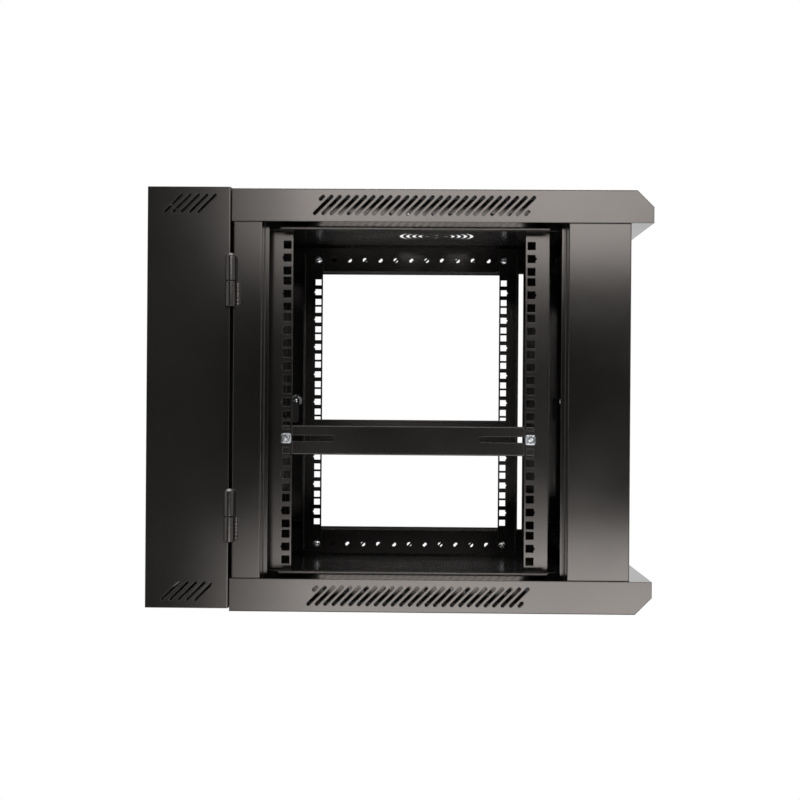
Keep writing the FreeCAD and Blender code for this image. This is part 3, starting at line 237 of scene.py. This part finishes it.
def door_glass():
    """Clear toughened glass, faintly grey, with faint smears."""
    material, tree, shader, where = new_finish("door glass")
    smears = noise(tree, where, SMEAR_SCALE, 5.0)
    grey = blend_colours(tree, smears, (0.80, 0.83, 0.83), (0.88, 0.90, 0.90))
    tree.links.new(grey, shader.inputs["Base Color"])
    tree.links.new(spread(tree, smears, 0.0, 0.05), shader.inputs["Roughness"])
    shader.inputs["Transmission Weight"].default_value = 1.0
    shader.inputs["IOR"].default_value = GLASS_IOR
    return material


FOAM = foam_tape()
GLASS = door_glass()
print("foam and glass:", FOAM.name, GLASS.name)

# %% [markdown]
# ## Every solid gets its finish
# The record of the cabinet names one finish for every piece. The loop paints each solid with the
# material of that name. Of the zinc pieces, the screws get the zinc painted brighter, a painted
# highlight.

# %% Paint the solids
FINISHES = {
    "powder_coat": BODY_PAINT,
    "rail_coat": RAIL_PAINT,
    "hinge_coat": BODY_PAINT,
    "hinge_steel": PIN_STEEL,
    "zinc": ZINC_PAINTED_DARKER,
    "lock_plate": LOCK_METAL,
    "cam_black": CAM_BLACK,
    "gasket": FOAM,
    "glass": GLASS,
}
for piece in frame["record"]["subparts"]:
    painted = nodes[piece["node"]].data
    painted.materials.clear()
    # The screws take the zinc painted brighter, a painted highlight.
    bright = piece["material_slot"] == "zinc" and "screw" in piece["node"]
    painted.materials.append(ZINC_PAINTED_BRIGHTER if bright else FINISHES[piece["material_slot"]])

# %% [markdown]
# ## Helpers for modelling
# Small hardware is modelled as by hand. A piece starts as one primitive on the X axis, grows by
# extrusions, and is copied to its places at the end. The helpers keep the cells short: they start
# a piece, select faces by where they lie or look, extrude and widen, close a piece, and join two.

# %% Helpers for modelling


def start_disc(name, radius, sides):
    """A flat disc that looks along X, open in edit mode."""
    bpy.ops.object.select_all(action="DESELECT")
    bpy.ops.mesh.primitive_circle_add(
        vertices=sides, radius=radius, fill_type="NGON", rotation=(0, math.radians(90), 0)
    )
    piece = bpy.context.object
    piece.name = name
    bpy.ops.object.transform_apply(location=True, rotation=True, scale=True)
    bpy.ops.object.mode_set(mode="EDIT")
    bpy.ops.mesh.select_mode(type="FACE")
    bpy.ops.mesh.select_all(action="SELECT")
    return piece


def start_block(name, size):
    """A block round the origin, open in edit mode."""
    bpy.ops.object.select_all(action="DESELECT")
    bpy.ops.mesh.primitive_cube_add(size=1)
    piece = bpy.context.object
    piece.name = name
    bpy.ops.object.mode_set(mode="EDIT")
    bpy.ops.mesh.select_mode(type="FACE")
    bpy.ops.mesh.select_all(action="SELECT")
    bpy.ops.transform.resize(value=size, center_override=(0, 0, 0))
    return piece


def pick_faces(piece, test):
    """Select the faces whose middle and normal pass a test."""
    bpy.ops.mesh.select_all(action="DESELECT")
    shape = bmesh.from_edit_mesh(piece.data)
    shape.normal_update()
    for face in shape.faces:
        if test(face.calc_center_median(), face.normal):
            face.select_set(True)
    bmesh.update_edit_mesh(piece.data)


def grow(step, widen=1.0):
    """Extrude the selected faces along X, then widen them about the axis."""
    bpy.ops.mesh.extrude_region_move(TRANSFORM_OT_translate={"value": (step, 0, 0)})
    bpy.ops.transform.resize(value=(1, widen, widen), center_override=(0, 0, 0))


def close_piece(piece, angle=35):
    """Merge doubles, turn the faces outwards, leave edit mode and smooth the round faces."""
    bpy.ops.mesh.select_all(action="SELECT")
    bpy.ops.mesh.remove_doubles(threshold=0.000001)
    bpy.ops.mesh.normals_make_consistent(inside=False)
    bpy.ops.object.mode_set(mode="OBJECT")
    bpy.ops.object.shade_smooth_by_angle(angle=math.radians(angle))


def fuse(parts):
    """Join the parts into the first one."""
    bpy.ops.object.select_all(action="DESELECT")
    for part in parts:
        part.select_set(True)
    bpy.context.view_layer.objects.active = parts[0]
    if len(parts) > 1:
        bpy.ops.object.join()
    return bpy.context.object


# %% [markdown]
# ## A pan head screw with a cross recess
# The rails and braces are held by zinc plated machine screws. The head is a low dome, and its
# cross is pressed in. The screw is grown from one disc: forwards into the dome, and backwards into
# a shank whose ridges stand for the thread. A boolean with two tapered bars cuts the cross, which
# is quicker than shaping the recess face by face.

# %% Model the screw
HEAD_RADIUS = 0.006
HEAD_HEIGHT = 0.0036
DOME = ((0.0010, 1.0), (0.0010, 0.95), (0.0007, 0.88), (0.0005, 0.80), (0.0004, 0.55))
SHANK_RADIUS = 0.0029
SHANK_LENGTH = 0.012
RIDGES = 10
RIDGE_STEP = 0.0006
RIDGE_ROOT = 0.88
CROSS_LENGTH, CROSS_WIDTH, CROSS_DEPTH = 0.0074, 0.0018, 0.0044
CROSS_TAPER = 0.55
CROSS_LIFT = 0.0002


def cut_bar(piece, height, width):
    """Cut one bar of the cross out of the head, then remove the bar."""
    bar = start_block("recess_bar", (CROSS_DEPTH, width, height))
    pick_faces(bar, lambda middle, normal: normal.x < -0.9)
    bpy.ops.transform.resize(value=(1, CROSS_TAPER, CROSS_TAPER), center_override=(0, 0, 0))
    bpy.ops.object.mode_set(mode="OBJECT")
    bar.location = (HEAD_HEIGHT + CROSS_LIFT, 0, 0)
    carve = piece.modifiers.new("cross", "BOOLEAN")
    carve.operation = "DIFFERENCE"
    carve.object = bar
    bpy.context.view_layer.objects.active = piece
    bpy.ops.object.modifier_apply(modifier=carve.name)
    bpy.data.objects.remove(bar, do_unlink=True)


def model_screw():
    """A domed head with a cross, and a ridged shank behind it."""
    screw = start_disc("pan_screw", HEAD_RADIUS, 32)
    for step, widen in DOME:
        grow(step, widen)
    pick_faces(screw, lambda middle, normal: middle.x < 0.00001 and normal.x < -0.9)
    bpy.ops.mesh.inset(thickness=HEAD_RADIUS - SHANK_RADIUS)
    for _ in range(RIDGES):
        grow(-RIDGE_STEP, 1.0 / RIDGE_ROOT)
        grow(-RIDGE_STEP, RIDGE_ROOT)
    close_piece(screw)
    cut_bar(screw, CROSS_LENGTH, CROSS_WIDTH)
    cut_bar(screw, CROSS_WIDTH, CROSS_LENGTH)
    return screw


screw_master = model_screw()
print("screw, in mm:", tuple(round(d * 1000, 2) for d in screw_master.dimensions))

# %% [markdown]
# ## Copies
# Everything that repeats is modelled once. Each copy gets a mesh of its own, because the finished
# set is joined into one piece with its place in its mesh, which then rides on its body.

# %% Helpers for copies


def copy_to(master, place, turn=(0, 0, 0), size=(1, 1, 1)):
    """A copy of the master with a mesh of its own."""
    twin = master.copy()
    twin.data = master.data.copy()
    bpy.context.collection.objects.link(twin)
    twin.location, twin.rotation_euler, twin.scale = place, turn, size
    return twin


def join_as(name, twins, body, slot, material, *stands_for):
    """Join the copies into one piece that rides on a body and wears a finish."""
    piece = fuse(twins)
    piece.name = name
    bpy.ops.object.transform_apply(location=True, rotation=True, scale=True)
    piece.data.materials.clear()
    piece.data.materials.append(material)
    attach(piece, body)
    if stands_for:
        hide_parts(*stands_for)
    print(name, len(piece.data.polygons), "faces")


OUTWARDS = {"left": (0, 0, 0), "right": (0, 0, math.pi)}

# %% [markdown]
# ## Screws in their places
# The solids tell where the screws sit. Each set fills its box to the corners, so the outermost
# screws are found from the box and the head's radius. The eight rail screws stand at the ends of
# the rails, and the four brace screws at the ends of the two braces.

# %% Place the rail screws and the brace screws
FIRST_TURN, NEXT_TURN = 23, 37


def screw_places(node):
    """Seats of the screws at the corners of a node's box, with the side that each one is on."""
    low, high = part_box(node)
    seats = []
    for side, x in (("left", low[0]), ("right", high[0])):
        inwards = 1 if side == "left" else -1
        for y in (low[1] + HEAD_RADIUS, high[1] - HEAD_RADIUS):
            for z in sorted({round(low[2] + HEAD_RADIUS, 5), round(high[2] - HEAD_RADIUS, 5)}):
                seats.append((side, (x + inwards * SHANK_LENGTH, y, z)))
    return seats


for node, name in (("rail_screws", "rail_screw_set"), ("brace_screws", "brace_screw_set")):
    screws = []
    for number, (side, seat) in enumerate(screw_places(node)):
        driven = math.radians(FIRST_TURN + NEXT_TURN * number)
        screws.append(copy_to(screw_master, seat, (driven, 0, OUTWARDS[side][2])))
    join_as(name, screws, "main_body", "zinc", ZINC_PAINTED_BRIGHTER, node)

# %% [markdown]
# The blanking plates of the wall section are held by smaller screws of the same make, so the same
# master is scaled down and stood upright, with its head outside.

# %% Place the blanking plate screws
PLATE_HEAD = 0.004
PLATE_HEAD_HEIGHT = 0.002
HAIR_INSIDE = 0.99


def head_size(height, radius):
    """The scale that gives the master a head of this height and radius."""
    return height / HEAD_HEIGHT, radius / HEAD_RADIUS, radius / HEAD_RADIUS


low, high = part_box("blanking_plate_screws")
middle = (low[1] + high[1]) / 2
tall, wide, deep = head_size(PLATE_HEAD_HEIGHT, PLATE_HEAD)
screws = []
for across in (low[0] + PLATE_HEAD, high[0] - PLATE_HEAD):
    for up, turn in (
        (high[2] - PLATE_HEAD_HEIGHT, -math.pi / 2),
        (low[2] + PLATE_HEAD_HEIGHT, math.pi / 2),
    ):
        place = (across, middle, up)
        screws.append(copy_to(screw_master, place, (0, turn, 0), (tall * HAIR_INSIDE, wide, deep)))
join_as("blanking_screw_set", screws, "wall_section", "zinc", ZINC_PAINTED_BRIGHTER, "blanking_plate_screws")

# %% [markdown]
# Each lock's cam is held by one more screw of this kind, with a flatter head. The body lock's looks
# into the cabinet from the lock side, and the door lock's looks back from the door. They turn with
# their cams.

# %% Place the cam screws
for node, body, axis, turn in (
    ("body_lock_screw", "body_lock", 0, (0, 0, math.pi)),
    ("door_lock_screw", "door_lock", 1, (0, 0, math.pi / 2)),
):
    low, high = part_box(node)
    seat = [(a + b) / 2 for a, b in zip(low, high)]
    seat[axis] = high[0] if axis == 0 else low[1]
    size = head_size(high[axis] - low[axis], (high[2] - low[2]) / 2)
    cam_screw = copy_to(screw_master, seat, turn, size)
    join_as(node + "_turned", [cam_screw], body, "zinc", ZINC_PAINTED_BRIGHTER, node)
bpy.data.objects.remove(screw_master, do_unlink=True)

# %% [markdown]
# ## Cage nuts
# A cage nut is a square nut that floats in a cage of spring steel. From outside the rail one sees
# the cage's rounded back with its rolled rim, the nut in the middle, and the end of the screw. The
# piece starts as a block: its long edges are rounded, its outer rim is rolled over, and the back is
# inset and sunk. The nut's collar and the collar that sits in the square hole are grown from it.

# %% Model a cage nut
CAGE_SIDE = 0.0128
CAGE_HEIGHT = 0.0040
CAGE_COLLAR = 0.0092
CAGE_CORNER = 0.0026
RIM_ROLL = 0.0009
BACK_INSET = 0.0006
BACK_RISE, BACK_SINK = 0.0010, 0.0007
LIP_DROP = 0.0004
COLLAR_REACH = 0.0015


def model_cage_nut():
    """A sprung cage with a rolled rim, a sunk back and a collar."""
    nut = start_block("cage_nut", (CAGE_HEIGHT, CAGE_SIDE, CAGE_SIDE))
    bpy.ops.mesh.select_mode(type="EDGE")
    bpy.ops.mesh.select_all(action="DESELECT")
    shape = bmesh.from_edit_mesh(nut.data)
    for edge in shape.edges:
        along = edge.verts[0].co - edge.verts[1].co
        edge.select_set(abs(along.x) > 0.001)
    bmesh.update_edit_mesh(nut.data)
    bpy.ops.mesh.bevel(offset=CAGE_CORNER, segments=6, affect="EDGES")
    bpy.ops.mesh.select_mode(type="FACE")
    pick_faces(nut, lambda middle, normal: normal.x < -0.9)
    bpy.ops.mesh.bevel(offset=RIM_ROLL, segments=3, affect="EDGES")
    pick_faces(nut, lambda middle, normal: normal.x < -0.99)
    bpy.ops.mesh.inset(thickness=BACK_INSET)
    grow(BACK_RISE, 0.90)
    bpy.ops.mesh.inset(thickness=BACK_INSET)
    grow(-BACK_SINK, 0.86)
    pick_faces(nut, lambda middle, normal: normal.x > 0.9)
    bpy.ops.transform.translate(value=(-LIP_DROP, 0, 0))
    bpy.ops.mesh.inset(thickness=(CAGE_SIDE - CAGE_COLLAR) / 2)
    grow(COLLAR_REACH)
    close_piece(nut, 50)
    return nut


nut_master = model_cage_nut()
print("cage nut, in mm:", tuple(round(d * 1000, 2) for d in nut_master.dimensions))

# %% [markdown]
# The threaded end of the nut stands out of the middle of the cage as a ring, with the screw's end
# inside. The ring is a second small piece, turned from a disc and joined to the first.

# %% Model the threaded boss
BOSS_RADIUS, BOSS_WALL = 0.0043, 0.0008
BOSS_RING = ((-0.0012, 1.0), (-0.0003, 0.94))
BORE_DEPTH = 0.0011
BOSS_SEAT = 0.0004

boss = start_disc("threaded_boss", BOSS_RADIUS, 24)
for step, widen in BOSS_RING:
    grow(step, widen)
pick_faces(boss, lambda middle, normal: normal.x < -0.9)
bpy.ops.mesh.inset(thickness=BOSS_WALL)
grow(BORE_DEPTH, 0.92)
close_piece(boss)
boss.location = (-CAGE_HEIGHT / 2 + BOSS_SEAT, 0, 0)
fuse([nut_master, boss])
print("cage nut with its boss:", len(nut_master.data.polygons), "faces")

# %% [markdown]
# The four cage nuts are clipped into the rails where the braces are held, each with its back to
# the outside. The face of a rail gives their place across, and their own box the rest.

# %% Place the cage nuts
NUT_DEPTH = 0.011
low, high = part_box("cage_nuts")
level = (low[2] + high[2]) / 2
rail_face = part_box("rack_rail_rear_right")[1][0]
nuts = []
for side, x in (("left", -rail_face - CAGE_HEIGHT / 2), ("right", rail_face + CAGE_HEIGHT / 2)):
    for y in (low[1] + NUT_DEPTH / 2, high[1] - NUT_DEPTH / 2):
        nuts.append(copy_to(nut_master, (x, y, level), OUTWARDS[side]))
bpy.data.objects.remove(nut_master, do_unlink=True)
join_as("cage_nut_set", nuts, "main_body", "zinc", ZINC_PAINTED_DARKER, "cage_nuts")

# %% [markdown]
# ## Hinge barrels
# Each hinge is two turned barrels on one pin. The ends of a barrel are chamfered on the lathe, and
# two chamfers that meet show as a dark line round the hinge. Each barrel has a foot on one side,
# where it is welded to its sheet. The barrel is grown from a disc, with the chamfers as short
# tapered steps, and the foot is a block with its outer edge sloped.

# %% Model a hinge barrel
BARREL_LENGTH = 0.030
CHAMFER = 0.0008
SECTIONS = 3
FOOT_LENGTH = 0.028
FOOT_HEIGHT, FOOT_SINK = 0.6, 0.7
FOOT_SLOPE = (0.96, 1, 0.15)
knuckle_low, knuckle_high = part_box("body_hinge_knuckles")
side_face = knuckle_high[0]
BARREL_RADIUS = (side_face - knuckle_low[0]) / 2
FOOT_REACH = knuckle_high[1] - BARREL_RADIUS - knuckle_low[1]


def model_barrel():
    """A turned barrel, chamfered at both ends."""
    barrel = start_disc("hinge_barrel", BARREL_RADIUS - CHAMFER, 48)
    grow(CHAMFER, BARREL_RADIUS / (BARREL_RADIUS - CHAMFER))
    for _ in range(SECTIONS):
        grow((BARREL_LENGTH - 2 * CHAMFER) / SECTIONS)
    grow(CHAMFER, (BARREL_RADIUS - CHAMFER) / BARREL_RADIUS)
    close_piece(barrel, 30)
    return barrel


def model_foot():
    """A block beside the barrel that thins out along the sheet."""
    half = BARREL_LENGTH / 2
    foot = start_block("hinge_foot", (FOOT_LENGTH, FOOT_REACH, BARREL_RADIUS * FOOT_HEIGHT))
    bpy.ops.transform.translate(value=(half, -FOOT_REACH / 2, -BARREL_RADIUS * FOOT_SINK))
    pick_faces(foot, lambda middle, normal: normal.y < -0.9)
    bpy.ops.transform.resize(value=FOOT_SLOPE, center_override=(half, 0, -BARREL_RADIUS))
    close_piece(foot)
    return foot


barrel_master = fuse([model_barrel(), model_foot()])
print("hinge barrel, in mm:", tuple(round(d * 1000, 2) for d in barrel_master.dimensions))

# %% [markdown]
# The wall's barrels stand above and their feet point to the wall. The body's barrels stand below,
# with their feet on the cabinet, so the same master is turned over for them.

# %% Place the barrels
UPRIGHT = (0, -math.pi / 2, 0)
TURNED_OVER = (math.pi, math.pi / 2, 0)
axis_x = side_face - BARREL_RADIUS
axis_y = knuckle_high[1] - BARREL_RADIUS

wall_low, wall_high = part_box("wall_hinge_knuckles")
tops = (wall_high[2], wall_low[2] + BARREL_LENGTH)
barrels = [copy_to(barrel_master, (axis_x, axis_y, top), TURNED_OVER) for top in tops]
join_as(
    "wall_hinge_barrels", barrels, "wall_section", "hinge_coat", BODY_PAINT, "wall_hinge_knuckles"
)

feet = (knuckle_high[2] - BARREL_LENGTH, knuckle_low[2])
barrels = [copy_to(barrel_master, (axis_x, axis_y, foot_end), UPRIGHT) for foot_end in feet]
join_as("body_hinge_barrels", barrels, "main_body", "hinge_coat", BODY_PAINT, "body_hinge_knuckles")
bpy.data.objects.remove(barrel_master, do_unlink=True)

# %% [markdown]
# ## Weld beads
# The lower knuckle of each hinge is welded to the body. The weld is a row of overlapping lumps,
# laid by hand and painted over. It is grown as a chain of swellings of uneven length, flattened
# against the sheet, and rounded by subdivision. Molten metal leaves it smooth, so its paint stays
# glossy although it lies in a corner.

# %% Model a weld bead
LUMPS = ((0.0062, 1.6), (0.0050, 2.1), (0.0070, 1.7), (0.0052, 2.3), (0.0046, 1.8))
CREST = 1.10
BEAD_RADIUS = 0.0015
END_TAPER = 0.4


def model_bead():
    """A chain of lumps, each one a swelling and a narrowing."""
    bead = start_disc("weld_bead", BEAD_RADIUS, 10)
    for length, swell in LUMPS:
        for step, widen in ((0.20, swell), (0.36, CREST), (0.26, 1 / CREST), (0.18, 1 / swell)):
            grow(step * length, widen)
    bpy.ops.transform.resize(value=(1, END_TAPER, END_TAPER), center_override=(0, 0, 0))
    close_piece(bead)
    rounding = bead.modifiers.new("rounding", "SUBSURF")
    rounding.levels = rounding.render_levels = 1
    bpy.ops.object.modifier_apply(modifier=rounding.name)
    return bead


bead_master = model_bead()

# %% [markdown]
# A bead starts just under the top of its barrel and runs down along the edge of the foot, half
# sunk into the sheet.

# %% Place the weld beads
BEAD_SINK = 0.0010
BEAD_GAP = 0.0002
BEAD_START = 0.0006
FLATTENED = (1, 1, 0.9)
DOWNWARDS = (0, math.pi / 2, 0)

beads = []
for top in (knuckle_high[2], knuckle_low[2] + BARREL_LENGTH):
    place = (side_face - BEAD_SINK, knuckle_low[1] - BEAD_GAP, top - BEAD_START)
    beads.append(copy_to(bead_master, place, DOWNWARDS, FLATTENED))
bpy.data.objects.remove(bead_master, do_unlink=True)
# The bead's coat is painted lighter than the body's powder coat, a painted highlight on the bead.
BEAD_COAT_PAINTED_LIGHTER = powder_coat(
    "weld coat painted lighter", (0.0080, 0.0078, 0.0075), (0.0130, 0.0127, 0.0120), 0.20, WARM, 0.9, 0.0
)
join_as("weld_beads", beads, "main_body", "hinge_coat", BEAD_COAT_PAINTED_LIGHTER)

# %% [markdown]
# ## A pale floor
# The cabinet hangs over a large pale floor, low enough that its own shadow stays soft.

# %% Floor
FLOOR_DROP = 1.4
FLOOR_SIZE = 4.0
MIDDLE = -0.3
bpy.ops.object.select_all(action="DESELECT")
bpy.ops.mesh.primitive_plane_add(size=FLOOR_SIZE, location=(0, MIDDLE, -FLOOR_DROP))
floor = bpy.context.object
floor.name = "studio_floor"
floor_paint, tree, shader, where = new_finish("pale floor")
scuffs = noise(tree, where, 3.0)
floor_tone = blend_colours(tree, scuffs, (0.80, 0.80, 0.80), (0.84, 0.84, 0.84))
tree.links.new(floor_tone, shader.inputs["Base Color"])
shader.inputs["Roughness"].default_value = 0.8
floor.data.materials.append(floor_paint)
print("floor:", FLOOR_SIZE, "m wide,", FLOOR_DROP, "m down")

# %% [markdown]
# ## A white room
# The world is white wherever it is seen: directly, in a reflection, or through glass. As a source
# of light it is held back, so that dark paint keeps its depth.

# %% White room
ROOM_GLOW = 0.35


def white_room():
    """World strength 1 to the camera, to glossy rays and through glass; less as light."""
    world = bpy.data.worlds.new("white room")
    bpy.context.scene.world = world
    world.use_nodes = True
    tree = world.node_tree
    path = tree.nodes.new("ShaderNodeLightPath")
    seen = path.outputs["Is Camera Ray"]
    for kind in ("Is Glossy Ray", "Is Transmission Ray"):
        either = tree.nodes.new("ShaderNodeMath")
        either.operation = "MAXIMUM"
        tree.links.new(seen, either.inputs[0])
        tree.links.new(path.outputs[kind], either.inputs[1])
        seen = either.outputs["Value"]
    sky = tree.nodes["Background"]
    sky.inputs["Color"].default_value = (1, 1, 1, 1)
    tree.links.new(spread(tree, seen, ROOM_GLOW, 1.0), sky.inputs["Strength"])


white_room()

# %% [markdown]
# ## Dark boards
# Black gloss paint is all reflection. A studio stands dark boards round such an object, so that
# its flat sides stay deep and only the soft boxes draw bright bands on them. One board stands
# behind the soft boxes and one beyond the cabinet. They show in the paint but not to the camera.

# %% Dark boards
board_paint, tree, shader, where = new_finish("dark board")
nap = noise(tree, where, 3.0)
board_tone = blend_colours(tree, nap, (0.010, 0.010, 0.010), (0.016, 0.016, 0.016))
tree.links.new(board_tone, shader.inputs["Base Color"])
shader.inputs["Roughness"].default_value = 1.0
shader.inputs["Specular IOR Level"].default_value = 0.0


def dark_board(name, place, height, width):
    """An upright board that looks along X."""
    bpy.ops.object.select_all(action="DESELECT")
    bpy.ops.mesh.primitive_plane_add(size=1, location=place, rotation=(0, math.radians(90), 0))
    board = bpy.context.object
    board.name = name
    board.scale = (height, width, 1)
    board.data.materials.append(board_paint)
    board.visible_camera = False
    board.visible_transmission = False


BOARDS = (
    ("near_board", (-2.6, MIDDLE, 0.0), 2.6, 3.8),
    ("far_board", (3.0, 0.365, 0.0), 3.0, 2.47),
)
for name, place, height, width in BOARDS:
    dark_board(name, place, height, width)
print("boards:", len(BOARDS))

# %% [markdown]
# ## Soft boxes
# Two large soft boxes on the hinge side, one high and one low, draw the bright bands along the
# covers' skirts and leave the middle of the cabinet dark. Weaker pairs light the other sides.

# %% Soft boxes
HINGE_SIDE = -2.2
HINGE_SIDE_AIM = -1.2
HINGE_SIDE_BOXES = (
    ("upper_box", -0.59, 0.686, 1.22, 0.628, 15.0),
    ("upper_feather", 0.11, 0.686, 0.18, 0.628, 0.90),
    ("lower_box", -0.59, -0.686, 1.22, 0.628, 14.8),
    ("lower_feather", 0.11, -0.686, 0.18, 0.628, 0.95),
    ("wall_side_glow", 0.64, 0.0, 0.88, 2.0, 0.75),
)
OTHER_BOXES = (
    ("far_upper_box", (2.4, MIDDLE, 1.3), 12.0),
    ("far_lower_box", (2.4, MIDDLE, -0.8), 3.0),
    ("front_upper_box", (0.0, -2.8, 1.3), 14.0),
    ("front_lower_box", (0.0, -2.8, -0.8), 4.0),
    ("rear_upper_box", (0.0, 2.2, 1.3), 10.0),
)
OTHER_WIDTH, OTHER_HEIGHT = 1.4, 0.5


def soft_box(name, place, target, width, height, power):
    """A rectangular lamp that looks at the target."""
    aim = (Vector(target) - Vector(place)).to_track_quat("-Z", "Y").to_euler()
    bpy.ops.object.light_add(type="AREA", location=place, rotation=aim)
    lamp = bpy.context.object
    lamp.name = name
    lamp.visible_camera = False
    lamp.data.shape = "RECTANGLE"
    lamp.data.size, lamp.data.size_y = width, height
    lamp.data.energy = power


for name, along, up, width, height, power in HINGE_SIDE_BOXES:
    soft_box(name, (HINGE_SIDE, along, up), (HINGE_SIDE_AIM, along, up), width, height, power)
for name, place, power in OTHER_BOXES:
    soft_box(name, place, (0, MIDDLE, 0), OTHER_WIDTH, OTHER_HEIGHT, power)
print("soft boxes:", len(HINGE_SIDE_BOXES) + len(OTHER_BOXES))

# %% [markdown]
# ## Camera
# The camera looks at the hinge side from about a metre and a half, level with the middle of the
# cabinet.

# %% Camera
SIDE_DISTANCE = 1.4747
CAMERA_DEPTH = -0.32024
CAMERA_HEIGHT = -0.00246
YAW, PITCH, ROLL = (math.radians(angle) for angle in (0.7447, 0.0372, 0.4172))
SENSOR = 36.0
LENS = 56.058

bpy.ops.object.camera_add(location=(side_face - SIDE_DISTANCE, CAMERA_DEPTH, CAMERA_HEIGHT))
camera = bpy.context.object
flat = math.cos(PITCH)
look = Vector((math.cos(YAW) * flat, math.sin(YAW) * flat, math.sin(PITCH)))
upright = look.to_track_quat("-Z", "Y")
camera.rotation_euler = (upright @ Quaternion((0, 0, 1), ROLL)).to_euler()
camera.data.sensor_width = SENSOR
camera.data.lens = LENS
bpy.context.scene.camera = camera
bpy.context.scene.view_settings.view_transform = "Standard"
print("camera at", tuple(round(v, 3) for v in camera.location))
